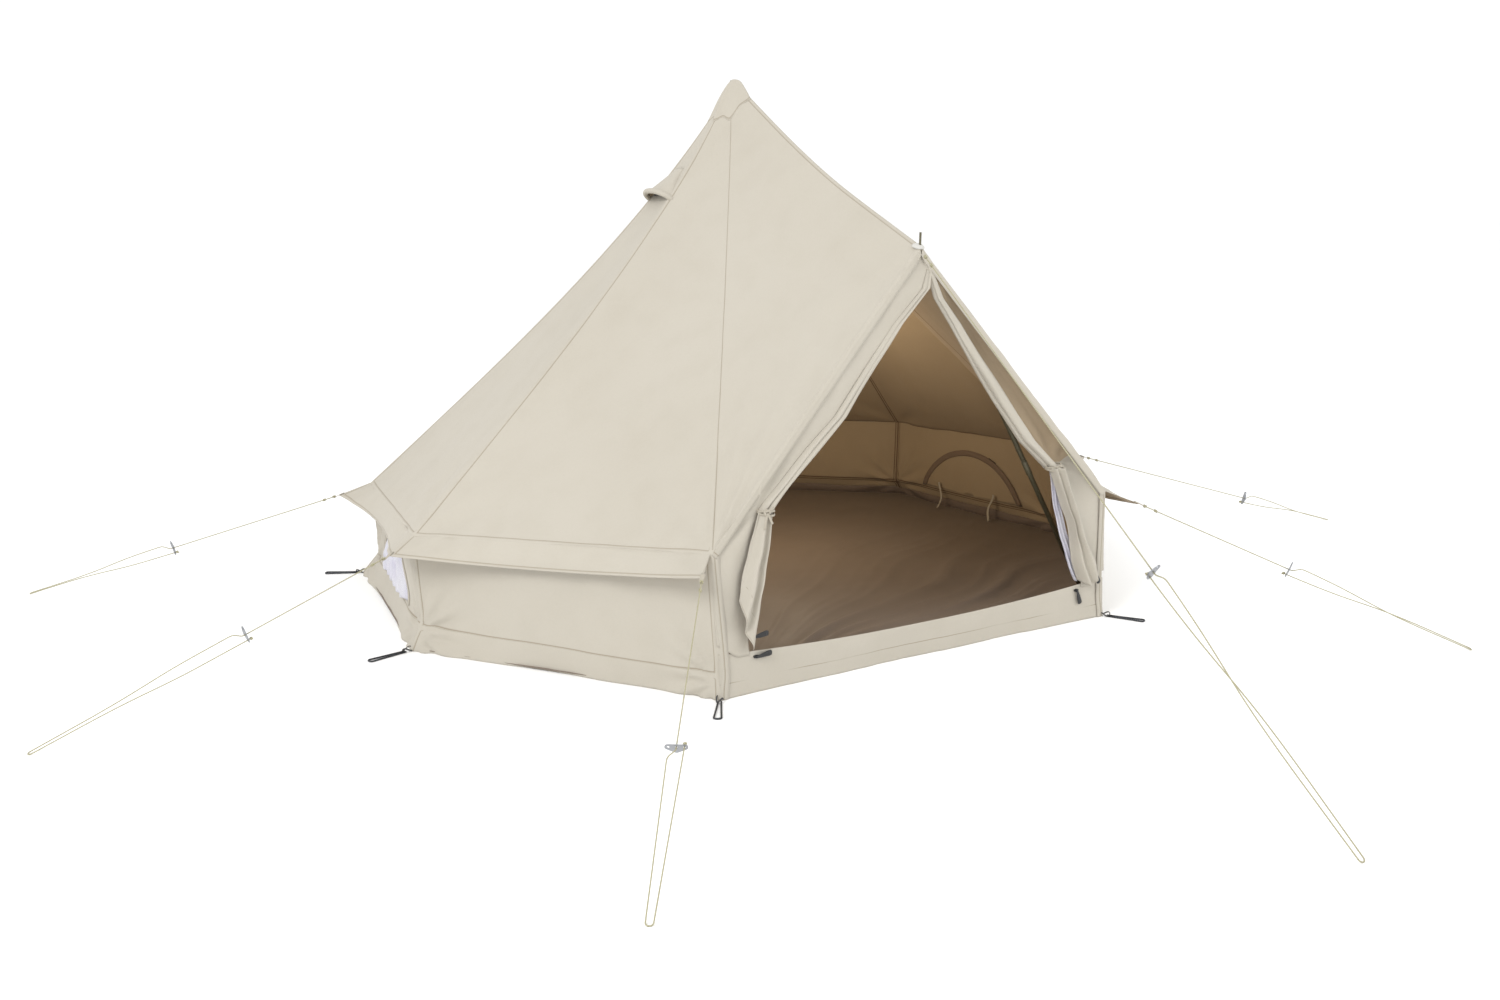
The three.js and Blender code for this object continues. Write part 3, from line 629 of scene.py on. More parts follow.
class Solid:
    """Collects closed shapes for one piece: tubes, turned shapes and plates."""

    def __init__(self):
        self.points = []
        self.faces = []
        self.uvs = []

    def loft(self, rings, closed=False):
        start = len(self.points)
        count = len(rings[0])
        total = len(rings)
        marks = running([sum(places, Vector()) / count for places in rings])
        for places in rings:
            self.points.extend(places)
        girth = sum((a - b).length for a, b in zip(rings[0], rings[0][1:] + rings[0][:1]))
        for r in range(total if closed else total - 1):
            s = (r + 1) % total
            top = marks[s] if s else marks[-1] + 0.001
            for i in range(count):
                corners = [(r, i), (r, (i + 1) % count), (s, (i + 1) % count), (s, i)]
                self.faces.append([start + row * count + column for row, column in corners])
                left, right = girth * i / count, girth * (i + 1) / count
                self.uvs.append([(left, marks[r]), (right, marks[r]), (right, top), (left, top)])
        if not closed:
            first = [start + i for i in range(count)]
            last = [i + (total - 1) * count for i in first]
            self.faces += [first[::-1], last]
            self.uvs += [[(0, 0)] * count] * 2

    def tube(self, path, radius, sides=12, closed=False, flat=1.0, spread=None):
        """A tube along a path. radius is one value or one for each point, flat squashes its section."""
        count = len(path)
        radii = radius if isinstance(radius, (list, tuple)) else [radius] * count
        rings = []
        side = None
        for i, place in enumerate(path):
            before = path[i - 1] if i or closed else place
            after = path[(i + 1) % count] if i + 1 < count or closed else place
            along = (after - before).normalized()
            if side is None:
                side = spread or (UP if abs(along.z) < 0.9 else RIGHT)
            side = (side - along * side.dot(along)).normalized()
            rings.append(ring(place, side, along.cross(side), radii[i], sides, flat))
        self.loft(rings, closed)

    def turned(self, profile, foot=Vector(), axis=UP, sides=32):
        """A turned shape from (radius, height) rows, which start and end on or near the axis."""
        side = RIGHT if abs(axis.x) < 0.9 else Vector((0, 1, 0))
        side = (side - axis * side.dot(axis)).normalized()
        self.loft([ring(foot + axis * height, side, axis.cross(side), max(radius, 1e-5), sides)
                   for radius, height in profile])

    def build(self, name, material, body="tent", slot="canvas", stands_for=()):
        made = make_object(name, self.points, self.faces, [material], self.uvs)
        settle(made, body, slot, stands_for)
        return made


def rod(name, material, path, radius, sides, body="tent", slot="canvas", stands_for=(), **shape):
    """A piece that is one tube."""
    made = Solid()
    made.tube(path, radius, sides, **shape)
    return made.build(name, material, body, slot, stands_for)


# ---- The eight corners, clockwise from the left door corner as seen from above ----
class Corner:
    def __init__(self, kind, side):
        angle, eave, height, hem, tip_angle, tip, tip_height = kind
        turn = -90 + side * angle
        self.eave = polar(turn, eave, height)
        self.hem = polar(turn, hem)
        self.fold = polar(turn, eave - FOLD_INSET, FOLD_HEIGHT)
        self.tip = polar(-90 + side * tip_angle, tip, tip_height)
        self.out = polar(turn, 1.0)
        self.aside = Vector((-self.out.y, self.out.x, 0))


CORNERS = [Corner(kind, -1) for kind in CORNER_KINDS] + [Corner(kind, 1) for kind in reversed(CORNER_KINDS)]
DOOR_HEM_Y = CORNERS[0].hem.y
DOOR_LEAN = (PORCH.y - DOOR_HEM_Y) / PORCH.z
DOOR_EAVE_X = 0.838
DOOR_FOLD_X = 0.829


def door_y(z):
    return DOOR_HEM_Y + DOOR_LEAN * z


for corner in (CORNERS[0], CORNERS[7]):
    sign = math.copysign(1, corner.eave.x)
    corner.eave.x = sign * DOOR_EAVE_X
    corner.eave.y = door_y(corner.eave.z)
    corner.fold.x = sign * DOOR_FOLD_X
    corner.fold.y = door_y(FOLD_HEIGHT)


def wall_side(i):
    """A side's two corners, and which way it faces."""
    left, right = CORNERS[i], CORNERS[(i + 1) % 8]
    return left, right, (left.out + right.out).normalized()


# ---- Guy ropes ----
def guy_frame(name):
    corner, end, plate_at, lies = GUYS[name]
    ground = Vector((*end, ROPE_RADIUS))
    start = Vector((0, PORCH.y - 0.022, PORCH.z - 0.030)) if corner is None else CORNERS[corner].tip.copy()
    axis = (ground - start).normalized()
    if corner is not None:
        start += axis * 0.012
    length = (ground - start).length
    level = axis.cross(UP).normalized()
    spread = level if lies == "level" else level.cross(axis).normalized()
    return start, axis, length, spread, plate_at * length


def round_corners(path, passes=2):
    """Cuts each corner of a path twice over, and keeps its two ends."""
    for _ in range(passes):
        cuts = [mix(a, b, share) for a, b in zip(path, path[1:]) for share in (0.25, 0.75)]
        path = [path[0], *cuts, path[-1]]
    return path


def coil(centre, spread, axis, points, turns, size, pitch):
    """A helix round a line, for a knot."""
    side = spread.cross(axis)
    path = []
    for share in evenly(points - 1):
        turn = 2 * math.pi * turns * share
        path.append(centre + (spread * math.cos(turn) + side * math.sin(turn)) * size + axis * (pitch * share))
    return path


def guy_rope(name):
    """One rope: a single line down to its plate, then two legs that end in a loop level on the ground."""
    start, axis, length, spread, plate = guy_frame(name)
    level = axis.cross(UP).normalized()
    if level.dot(spread) < 0:
        level.negate()
    loop_centre = length - ROPE_LOOP

    def at(along, aside=0.0):
        lying = smooth(1.3 * (along - plate) / (length - plate))
        place = start + axis * along + spread.lerp(level, lying).normalized() * aside
        place.z = max(place.z, ROPE_RADIUS + 0.0001)
        return place

    def leg(first, last, side):
        for along in (mix(first, last, share) for share in evenly(30)):
            gap = mix(PLATE_SPACING, ROPE_LOOP, (along - plate) / (loop_centre - plate))
            yield at(along, side * gap)

    line = [at(plate * share) for share in evenly(20)]
    legs = [at(plate + along, aside) for along, aside in
            ((0, 0), (0.008, 0), (0.014, 0.002), (0.022, 0.008), (0.030, 0.014), (0.038, 0.0185))]
    legs += leg(plate + 0.048, loop_centre, 1)
    legs += [at(loop_centre + ROPE_LOOP * math.sin(turn), ROPE_LOOP * math.cos(turn))
             for turn in (math.pi * k / 8 for k in range(1, 8))]
    legs += leg(loop_centre, plate + 0.020, -1)
    legs = round_corners([*legs, at(plate - 0.008, -PLATE_SPACING)])

    plate_body = f"guy_plate_{name}_body"
    upper_piece = rod(f"guy_line_{name}", ROPE, line, ROPE_RADIUS, 10, slot="rope", stands_for=[f"guy_rope_{name}"])
    lower_piece = rod(f"guy_legs_{name}", ROPE, legs, ROPE_RADIUS, 10, slot="rope")
    upper_piece.parent = None
    lower_piece.parent = None
    knot = coil(at(plate - 0.009, -PLATE_SPACING) + axis * 0.002, spread, axis, 26, 1.6, 0.0034, -0.0075)
    knot_piece = rod(f"guy_knot_{name}", ROPE, knot, 0.0024, 8, plate_body, "rope")
    plate_node = frame["nodes"][f"guy_plate_{name}"]
    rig.cord(upper_piece, exit=line[0], length=running(line)[-1], diameter=2 * ROPE_RADIUS, far_end="fitting",
            stiffness="limp", lay="taut", path=line, with_pieces=[plate_node])
    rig.cord(lower_piece, exit=legs[0], length=running(legs)[-1], diameter=2 * ROPE_RADIUS, far_end="knot",
            stiffness="limp", lay="taut", path=legs, with_pieces=[knot_piece])
    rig.blend(upper_piece, "tent", plate_body, start=line[0], end=at(plate - 0.004))
    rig.blend(lower_piece, "tent", plate_body, start=at(length), end=at(plate + 0.05))


# ---- Roof ----
FEET = [corner.eave for corner in CORNERS] + [PORCH]
WINGS = (7, 8)
SEAM_OFFSETS = (0.0, 0.0060, 0.0110, SEAM_LINE, 0.0175)
SEAM_RISE = (0.0012, 0.0012, 0.0011, 0.0, 0.0)
INNER_COLUMNS = 40
WALL_COLUMNS = 72
EAVE_LENGTH = 2.1


def ridge_point(foot, t):
    run = (foot - APEX).normalized()
    inside = run.cross(UP).normalized().cross(run).normalized()
    if inside.z > 0:
        inside.negate()
    sag = PORCH_SAG if foot is PORCH else RIDGE_SAG
    shoulder = 0.028 * smooth(t / 0.07) * (1 - smooth((t - 0.07) / 0.62)) if foot is PORCH else 0
    return APEX.lerp(foot, t) + inside * (sag * math.sin(math.pi * t**SAG_POWER) - shoulder)


def sector_normal(i):
    normal = (FEET[i] - APEX).cross(FEET[(i + 1) % 9] - APEX).normalized()
    return normal if normal.z > 0 else -normal


def column_shares(width, inner=INNER_COLUMNS):
    """Column places across a panel from 0 to 1, closest together along its two seams."""
    squeeze = min(1.0, width / 0.16)
    near = [offset * squeeze / width for offset in SEAM_OFFSETS]
    middle = [mix(near[-1], 1 - near[-1], k / (inner + 1)) for k in range(1, inner + 1)]
    return near + middle + [1 - share for share in reversed(near)]


def column_values(near, middle, inner=INNER_COLUMNS, both=True):
    """A value for each column of a panel. Where not both seams are felled here, the first side is plain."""
    first = list(near) if both else [near[0]] + [middle] * 4
    return first + [middle] * inner + list(reversed(near))


def corner_folds(place, corner, ahead, reach=0.30, height=0.007, count=9):
    """Tension folds that fan out from a pulled corner."""
    away = place - corner
    flat_ahead = Vector((ahead.x, ahead.y, 0)).normalized()
    turn = math.atan2(away.dot(flat_ahead.cross(UP)), away.dot(-flat_ahead))
    strength = smooth((away.length - 0.02) / 0.12) * math.exp(-((away.length / reach) ** 2))
    return height * strength * math.sin(count * turn)


def roof_height(i, place, t, u, width):
    """How far the cloth stands off its plain panel: belly, long soft wrinkles, folds and ripples."""
    middle = math.sin(math.pi * u)
    grown = smooth(t / 0.35) * (0.35 if i == 7 else 1.0)
    height = -0.022 * width * middle * (1 - t**7)
    height += rough(place, 1.9, 0.012 * grown * middle**0.7, i)
    height += rough(Vector((u * width * 9, t * 1.6, i)), 1.0, 0.0055 * grown * smooth(t * 1.6), 3)
    height += rough(place, 8.0, 0.0020 * grown, 5 + i)
    if i in WINGS:
        across = u * width if i == 8 else (1 - u) * width
        height += rough(Vector((across * 15, t * 2.0, 4)), 1.0, 0.0055 * t * t * grown, 8)
        pulled = FEET[7 if i == 7 else 0]
        late = smooth((t - 0.42) / 0.30) * grown
        height += late * corner_folds(place, pulled, pulled, 0.85, 0.0048, 19)
    for corner in (FEET[i], FEET[(i + 1) % 9]):
        if corner is PORCH:
            height += corner_folds(place, corner, Vector((0, -1, 0)), 0.40, 0.004, 9)
        else:
            height += corner_folds(place, corner, corner)
    return height


def roof_point(i, t, u, rise=0.0):
    a = ridge_point(FEET[i], t)
    b = ridge_point(FEET[(i + 1) % 9], t)
    width = (b - a).length
    place = a.lerp(b, u)
    on_ridge = 1 - math.exp(-min(u, 1 - u) * width / 0.03)
    return place + sector_normal(i) * (roof_height(i, place, t, u, width) * on_ridge + rise)


def valance_point(i, v, u, rise=0.0):
    """Below the eave the gore runs on as a valance, scalloped between its two guy tips."""
    left, right, outward = wall_side(i)
    low = left.eave.lerp(right.eave, u) + outward * 0.034 - UP * 0.084
    hem = low.lerp(left.tip.lerp(right.tip, u), abs(2 * u - 1) ** 2.2)
    place = roof_point(i, 1.0, u).lerp(hem, v)
    place += outward * 0.012 * math.sin(math.pi * v) * math.sin(math.pi * u)
    off_tip = 1 - math.exp(-min(u, 1 - u) / 0.04)
    tug = rough(place, 9.0, 0.005 * v, 20 + i)
    for corner in (left, right):
        tug += corner_folds(place, corner.tip, corner.out, 0.26, 0.009, 13)
    return place + (outward + UP * 0.4).normalized() * tug * off_tip + (outward + UP) * rise * 0.7


def door_band(side, u, offset):
    """The wing's edge turned over onto the door side, offset metres in from the porch edge."""
    edge = PORCH.lerp(CORNERS[7].eave, u)
    x = max(edge.x - 0.739 * offset, 0.0004)
    z = edge.z - 0.673 * offset
    return Vector((side * x, door_y(z) - 0.0052, z))


BAND_OFFSETS = (0.003, 0.006, 0.011, SEAM_LINE, 0.0175, 0.026)
VALANCE_ROWS = (0.05, 0.10, 0.20, 0.32, 0.45, 0.58, 0.70, 0.79, 0.85, 0.88, 0.95, 1.0)


def canopy():
    """The whole roof as one cloth: seven gores with their valances, and the two door wings."""
    cloth = Cloth()
    row_count = 84
    seam = [SEAM_LINE, 0.0110, 0.0060, 0.0]
    steps = [mix(0.035, 1 - 0.0175 / EAVE_LENGTH, share**0.9) for share in evenly(row_count)]
    steps += [1 - offset / EAVE_LENGTH for offset in seam]
    row_edges = [1.0] * row_count + [0.0175] + seam
    row_rise = [0.0] * (row_count + 2) + [0.0011, 0.0012, 0.0012]
    rises = column_values(SEAM_RISE, 0.0, both=False)
    ridges = {}
    for i in range(9):
        edges = column_values(SEAM_OFFSETS, 1.0, both=i == 8)

        def add(key, places, edge, run, i=i, edges=edges):
            keys = ((i, key), ((i + 1) % 9, key)) if key is not None else (None, None)
            return cloth.add_row(ridges, keys, places, edges, edge, [run] * len(places))

        rows = []
        for r, t in enumerate(steps):
            shares = column_shares((ridge_point(FEET[i], t) - ridge_point(FEET[(i + 1) % 9], t)).length)
            places = [roof_point(i, t, u, max(rise, row_rise[r])) for u, rise in zip(shares, rises)]
            rows.append(add(r, places, row_edges[r] if i not in WINGS or t == 1 else 1.0, t * EAVE_LENGTH))
        shares = column_shares((FEET[i] - FEET[(i + 1) % 9]).length)
        if i in WINGS:
            side = 1 if i == 7 else -1
            for offset in BAND_OFFSETS:
                places = [door_band(side, 1 - u if i == 7 else u, offset) for u in shares]
                rows.append(add(None, places, 1.0, EAVE_LENGTH + offset))
        else:
            for v in VALANCE_ROWS:
                places = [valance_point(i, v, u, rise) for u, rise in zip(shares, rises)]
                rows.append(add(("v", v), places, 0.1 * (1 - v), EAVE_LENGTH + 0.09 * v))
        cloth.weave(rows)
    cloth.build("canopy", CANVAS, CANVAS_PAINTED_SHADE,
                stands_for=[f"roof_gore_{i}" for i in range(1, 8)] + ["roof_wing_left", "roof_wing_right"],
                flat=(4.2, 4.2), held="stretched", area=cloth.area(1), rests_on=["pole_upper", "aframe_head"])


def peak_cap():
    """The sewn cap over the pole's top: a rounded tip and an edge cut up between the ridges."""
    cloth = Cloth(middle=APEX - UP * 0.4)
    columns = 14

    def cap_point(share, i, u):
        reach = 0.172 - 0.009 * (1 - math.cos(2 * math.pi * u))
        feet = (FEET[i], FEET[(i + 1) % 9])
        ends = [ridge_point(foot, mix(0.001, reach / (foot - APEX).length, share)) for foot in feet]
        place = ends[0].lerp(ends[1], u)
        flat = math.hypot(place.x - APEX.x, place.y - APEX.y)
        blunt = 1.15 * (math.hypot(flat, 0.020) - flat)
        stuffed = 0.034 * (1 - share) ** 1.2 + 0.012 * math.sin(math.pi * share) ** 0.9
        sag = 0.022 * 0.7 * reach * math.sin(math.pi * u) * share
        off = 0.0028 + rough(place, 22, 0.0018 * share) - sag
        return place + UP * (stuffed - blunt) + sector_normal(i) * off

    rows = [[(cap_point(share, c // columns, c % columns / columns), (1 - share) * 0.155 + 0.006, 0.01 * c)
             for c in range(9 * columns)] for share in evenly(24)]
    top = cloth.grid(rows, closed=True)[0]
    cloth.close_middle(top, sum((cloth.points[i] for i in top[:-1]), Vector()) / (9 * columns) + UP * 0.0005)
    cloth.build("peak_cap_canvas", CANVAS, CANVAS_PAINTED_SHADE, 0.003, stands_for=["peak_cap"],
                flat=(0.34, 0.34), held="stretched", area=cloth.area(), rests_on=["canopy"])


def vent_hood(label, i):
    """An arched hood of stiffened canvas that stands off the gore, open on its lower side."""
    half, reach, length = 0.120, 0.050, 0.150
    left, right = FEET[i], FEET[i + 1]
    bend = ridge_point(left, 0.27).lerp(ridge_point(right, 0.27), 0.5)
    down = (bend - APEX).normalized()
    along = (right - left).normalized()
    normal = along.cross(down).normalized()
    if normal.z < 0:
        normal.negate()
    base = APEX + down * 0.548 - normal * 0.004

    def arch(back, turn, grow=0.0):
        share = back / length
        wide = mix(half, 0.045, smooth(share)) + grow
        tall = mix(reach, 0.001, share**0.9) + grow
        sunk = 0.016 * (1 - math.sin(turn)) ** 2
        return base + along * wide * math.cos(turn) + normal * (tall * math.sin(turn) - sunk) - down * back

    cloth = Cloth(middle=base - normal * 0.2)
    cloth.lay(16, 32, lambda share, across: arch(length * share, math.pi * across))
    cloth.build(f"vent_hood_{label}_canvas", CANVAS, CANVAS_PAINTED_SHADE, 0.002, stands_for=[f"vent_hood_{label}"],
                flat=(0.29, 0.19), held="stretched", rests_on=["canopy"], area=0.0400)
    rod(f"vent_roll_{label}", CANVAS, [arch(0.006, math.pi * share, 0.0035) for share in evenly(32)], 0.0105, 12)
    screen = Cloth(middle=base - normal * 0.2)
    screen.grid([[base + along * wide * (0.092 - 0.45 * back) - down * back + normal * 0.003
                  for wide in (-1, -0.5, 0, 0.5, 1)] for back in (0.018, 0.050, 0.080)])
    screen.build(f"vent_screen_{label}", DARK_WEBBING, thickness=0.0015, slot="netting")


# ---- Walls ----
def corner_line(corner, s):
    """A wall corner's outline: s is 0 at the eave, 1 at the fold and 2 at the hem."""
    if s <= 1:
        return (corner.eave - UP * 0.003).lerp(corner.fold, s)
    return corner.fold.lerp(corner.hem, s - 1)


def wall_point(i, u, s, rise=0.0):
    left, right, outward = wall_side(i)
    place = corner_line(left, s).lerp(corner_line(right, s), u)
    middle = math.sin(math.pi * u)
    height = -0.010 * middle * math.sin(math.pi * min(s, 1.0))
    if s > 1:
        height -= 0.014 * middle * (s - 1)
    off_corner = 1 - math.exp(-min(u, 1 - u) / 0.03)
    height += rough(place, 3.2, 0.011, 40 + i) * middle**0.5 * smooth(s * 3)
    height += rough(Vector((place.x, place.y, place.z * 0.35)), 11.0, 0.0040, 50 + i) * smooth(s * 3) * off_corner
    width = (right.fold - left.fold).length
    for corner, from_corner in ((left, u * width), (right, (1 - u) * width)):
        height += pinch_folds(place, corner) * off_corner
        place = place - corner.out * 0.010 * math.exp(-from_corner / 0.07) * math.sin(math.pi * max(s, 0) / 2) ** 2
    return place + outward * (height + rise)


def pinch_folds(place, corner):
    """Short folds that run out of the peg loop's stitching, at the foot of a wall corner."""
    away = place - corner.fold.lerp(corner.hem, 0.3)
    turn = math.atan2(away.z, math.hypot(away.x, away.y))
    strength = smooth((away.length - 0.01) / 0.07) * math.exp(-((away.length / 0.21) ** 2))
    return 0.0095 * strength * math.sin(13 * turn + 0.6)


def wall_share(i, along, z):
    """Turns a place on a wall, metres from its middle and height, into wall_point's u and s."""
    left, right, _ = wall_side(i)
    u = 0.5 + along / (right.fold - left.fold).length
    top = mix(left.eave.z, right.eave.z, u) - 0.003
    if z > FOLD_HEIGHT:
        return u, (top - z) / (top - FOLD_HEIGHT)
    return u, 2 - z / FOLD_HEIGHT


WINDOW_SIDES = {"left": 1, "right": 5}
WINDOW_RADIUS = 0.340
WINDOW_CENTRE = -0.036
WINDOW_SILL = 0.108


def in_window(along, z):
    return z > WINDOW_SILL and math.hypot(along, z - WINDOW_CENTRE) < WINDOW_RADIUS


def walls():
    cloth = Cloth()
    levels = [-0.012, *evenly(30), 1.06, 1.13, 1.19, 1.3, 1.42, 1.54, 1.66, 1.78, 1.88, 1.94, 2.0]
    level_edges = [1.0] * 31 + [0.0160, SEAM_LINE, 0.0060, 0.0] + [1.0] * 8
    edges = column_values(SEAM_OFFSETS, 1.0, WALL_COLUMNS)
    rises = column_values(SEAM_RISE, 0.0, WALL_COLUMNS)
    shared = {}
    for i in range(7):
        left, right, _ = wall_side(i)
        width = (right.fold - left.fold).length
        shares = column_shares(width, WALL_COLUMNS)
        rows = [cloth.add_row(shared, ((i, r), (i + 1, r)),
                              [wall_point(i, u, s, rise) for u, rise in zip(shares, rises)],
                              edges, level_edges[r], [0.3 * s + u * width for u in shares])
                for r, s in enumerate(levels)]

        def keep(r, c, rows=rows, shares=shares, width=width):
            centre = (cloth.points[rows[r][c]] + cloth.points[rows[r + 1][c + 1]]) / 2
            return not in_window(((shares[c] + shares[c + 1]) / 2 - 0.5) * width, centre.z)

        cloth.weave(rows, keep if i in WINDOW_SIDES.values() else None)
    for i, side in ((0, -1), (7, 1)):
        rows = []
        for r, s in enumerate(levels):
            line = corner_line(CORNERS[i], max(s, 0))
            pull = 0.010 * math.sin(math.pi * max(s, 0) / 2) ** 2
            row = [shared[(i, r)]]
            for offset in (0.003, 0.006, 0.011, SEAM_LINE, 0.0175, 0.030):
                place = Vector((line.x - side * (offset + pull), door_y(line.z) - 0.0048, line.z))
                row.append(cloth.add(place, offset, line.z))
            rows.append(row if i else row[::-1])
        cloth.weave(rows)
    cloth.build("walls", CANVAS, CANVAS_PAINTED_SHADE, stands_for=[f"wall_panel_{i}" for i in range(1, 8)],
                flat=(0.46, 8.1), held="hung", area=cloth.area(2), rests_on=["canopy"])


def wall_strip(i, columns, rows, rise, billow=0.0):
    """A strip of cloth that follows a wall: columns of (along, z) ends, stood off by rise."""
    cloth = Cloth()

    def strip_point(share, ends):
        (far_along, far_z), (near_along, near_z) = ends
        along = mix(far_along, near_along, share)
        off = rise + billow * smooth(share * 3) * (1 + 0.35 * math.sin(along * 75))
        return wall_point(i, *wall_share(i, along, mix(far_z, near_z, share)), off)

    cloth.grid([[strip_point(share, ends) for ends in columns] for share in evenly(rows - 1)])
    return cloth


def arch_columns(inner, outer, sill):
    half = math.acos((sill - WINDOW_CENTRE) / outer)
    turns = [mix(-half, half, share) for share in evenly(48)]
    return [[(radius * math.sin(turn), max(WINDOW_CENTRE + radius * math.cos(turn), sill))
             for radius in (outer, inner)] for turn in turns]


def windows():
    thin = {"thickness": 0.0012}
    for label, i in WINDOW_SIDES.items():
        columns = arch_columns(0.02, WINDOW_RADIUS + 0.004, WINDOW_SILL)
        net = wall_strip(i, columns, 12, -0.0030, 0.020 if label == "left" else 0.0)
        net.build(f"window_net_{label}", NETTING, slot="netting", stands_for=[f"window_mesh_{label}"], **thin,
                  flat=(0.68, 0.20), held="stretched", area=net.area(), rests_on=["walls"])
        columns = arch_columns(WINDOW_RADIUS - 0.010, WINDOW_RADIUS + 0.018, 0.100)
        for face, rise, tape in (("outer", 0.0022, WEBBING), ("inner", -0.0075, ARCH_TAPE)):
            wall_strip(i, columns, 4, rise).build(f"window_tape_{label}_{face}", tape, **thin)
    # The closed right flap, inside the wall, shows the painted shade material on its outer face.
    flap = wall_strip(5, arch_columns(0.02, WINDOW_RADIUS + 0.006, 0.100), 14, -0.0055)
    flap.build("window_flap_right_canvas", CANVAS_PAINTED_SHADE, stands_for=["window_flap_right"], **thin,
               flat=(0.70, 0.21), held="stretched", area=flap.area(), rests_on=["walls"])
    folded_window_flap()
    window_strap("a", -0.18)
    window_strap("b", 0.16)


def window_strap(label, along):
    """A cloth strap that hangs down inside, to tie up the window's flap when it is open."""
    left, right, outward = wall_side(5)
    across = (right.fold - left.fold).normalized()
    top = wall_point(5, *wall_share(5, along, 0.135)) - outward * 0.012
    path = []
    for s in evenly(15):
        sway = 0.030 * s * s + 0.012 * math.sin(5 * s + along * 9)
        path.append(top - outward * (0.012 + 0.050 * s * s) + across * sway - UP * 0.118 * s)
    rod(f"window_strap_{label}", WEBBING, path, 0.0060, 10, flat=0.22, spread=across)


def folded_window_flap():
    """The open window's flap, rolled down inside under its sill."""
    left, right, outward = wall_side(1)
    along = (right.fold - left.fold).normalized()
    foot = left.fold.lerp(right.fold, 0.5)
    height, depth = 0.081, 0.022
    cloth = Cloth(middle=foot - outward * depth + UP * (height - foot.z))

    def roll_point(down, across):
        x = mix(-0.286, 0.286, down)
        turn = 2 * math.pi * 1.15 * across
        size = 1 - 0.22 * across
        z = height + 0.017 * size * math.sin(turn) + rough(Vector((x, 0, 0)), 9, 0.0015)
        return foot + along * x - outward * (depth + 0.0085 * size * math.cos(turn)) + UP * (z - foot.z)

    # The rolled left flap is the same canvas, painted with the shade material of the inside.
    cloth.lay(39, 29, roll_point)
    cloth.build("window_flap_left_rolled", CANVAS_PAINTED_SHADE, thickness=0.0012, stands_for=["window_flap_left"],
                flat=(0.57, 0.11), held="folded", area=min(cloth.area(), 0.063), rests_on=["walls"])


# ---- Door ----
# Each door edge as (height, x): the free edge of the flap, and where its folds begin.
LEFT_OPENING = [(0.588, -0.613), (0.620, -0.582), (0.656, -0.544), (0.757, -0.428), (0.861, -0.310), (1.015, -0.188),
                (1.147, -0.077), (1.257, 0.040), (1.330, 0.050), (1.392, 0.003)]
LEFT_FOLDS = [(0.588, -0.664), (0.620, -0.636), (0.666, -0.584), (0.770, -0.474), (0.861, -0.362), (1.015, -0.232),
              (1.147, -0.115), (1.257, 0.005), (1.330, 0.030), (1.392, 0.001)]
RIGHT_OPENING = [(0.588, 0.566), (0.699, 0.442), (0.855, 0.322), (0.984, 0.232), (1.130, 0.132), (1.222, 0.062),
                 (1.330, 0.020), (1.392, 0.001)]
RIGHT_FOLDS = [(0.588, 0.622), (0.699, 0.510), (0.855, 0.392), (0.984, 0.292), (1.130, 0.180), (1.222, 0.098),
               (1.330, 0.040), (1.392, 0.002)]
# Below the tie: the curtain's lower edge, from its folded side to its free side, as (x, height).
LEFT_HEM = [(-0.757, 0.318), (-0.748, 0.262), (-0.733, 0.205), (-0.718, 0.166), (-0.698, 0.139)]
RIGHT_HEM = [(0.775, 0.205), (0.764, 0.158), (0.745, 0.138), (0.722, 0.140), (0.700, 0.156)]
TIE_HEIGHT = 0.590
FLAP_TOP = 1.392


def flap_outer(z):
    """The door's outer edge: the ridge from the porch down to the eave, then the wall's corner."""
    eave = CORNERS[7].eave
    if z > eave.z:
        return DOOR_EAVE_X * (PORCH.z - z) / (PORCH.z - eave.z)
    return mix(DOOR_FOLD_X, DOOR_EAVE_X, (z - FOLD_HEIGHT) / (eave.z - FOLD_HEIGHT))


def tie_folds(x, z, tie_x, side):
    """Folds that fan out from the tie over the flat part of the flap."""
    away_x, away_z = side * (x - tie_x), z - TIE_HEIGHT
    distance = math.hypot(away_x, away_z)
    strength = smooth(distance / 0.10) * math.exp(-((distance / 0.30) ** 2))
    return 0.008 * strength * math.sin(7 * math.atan2(away_z, away_x) + side)


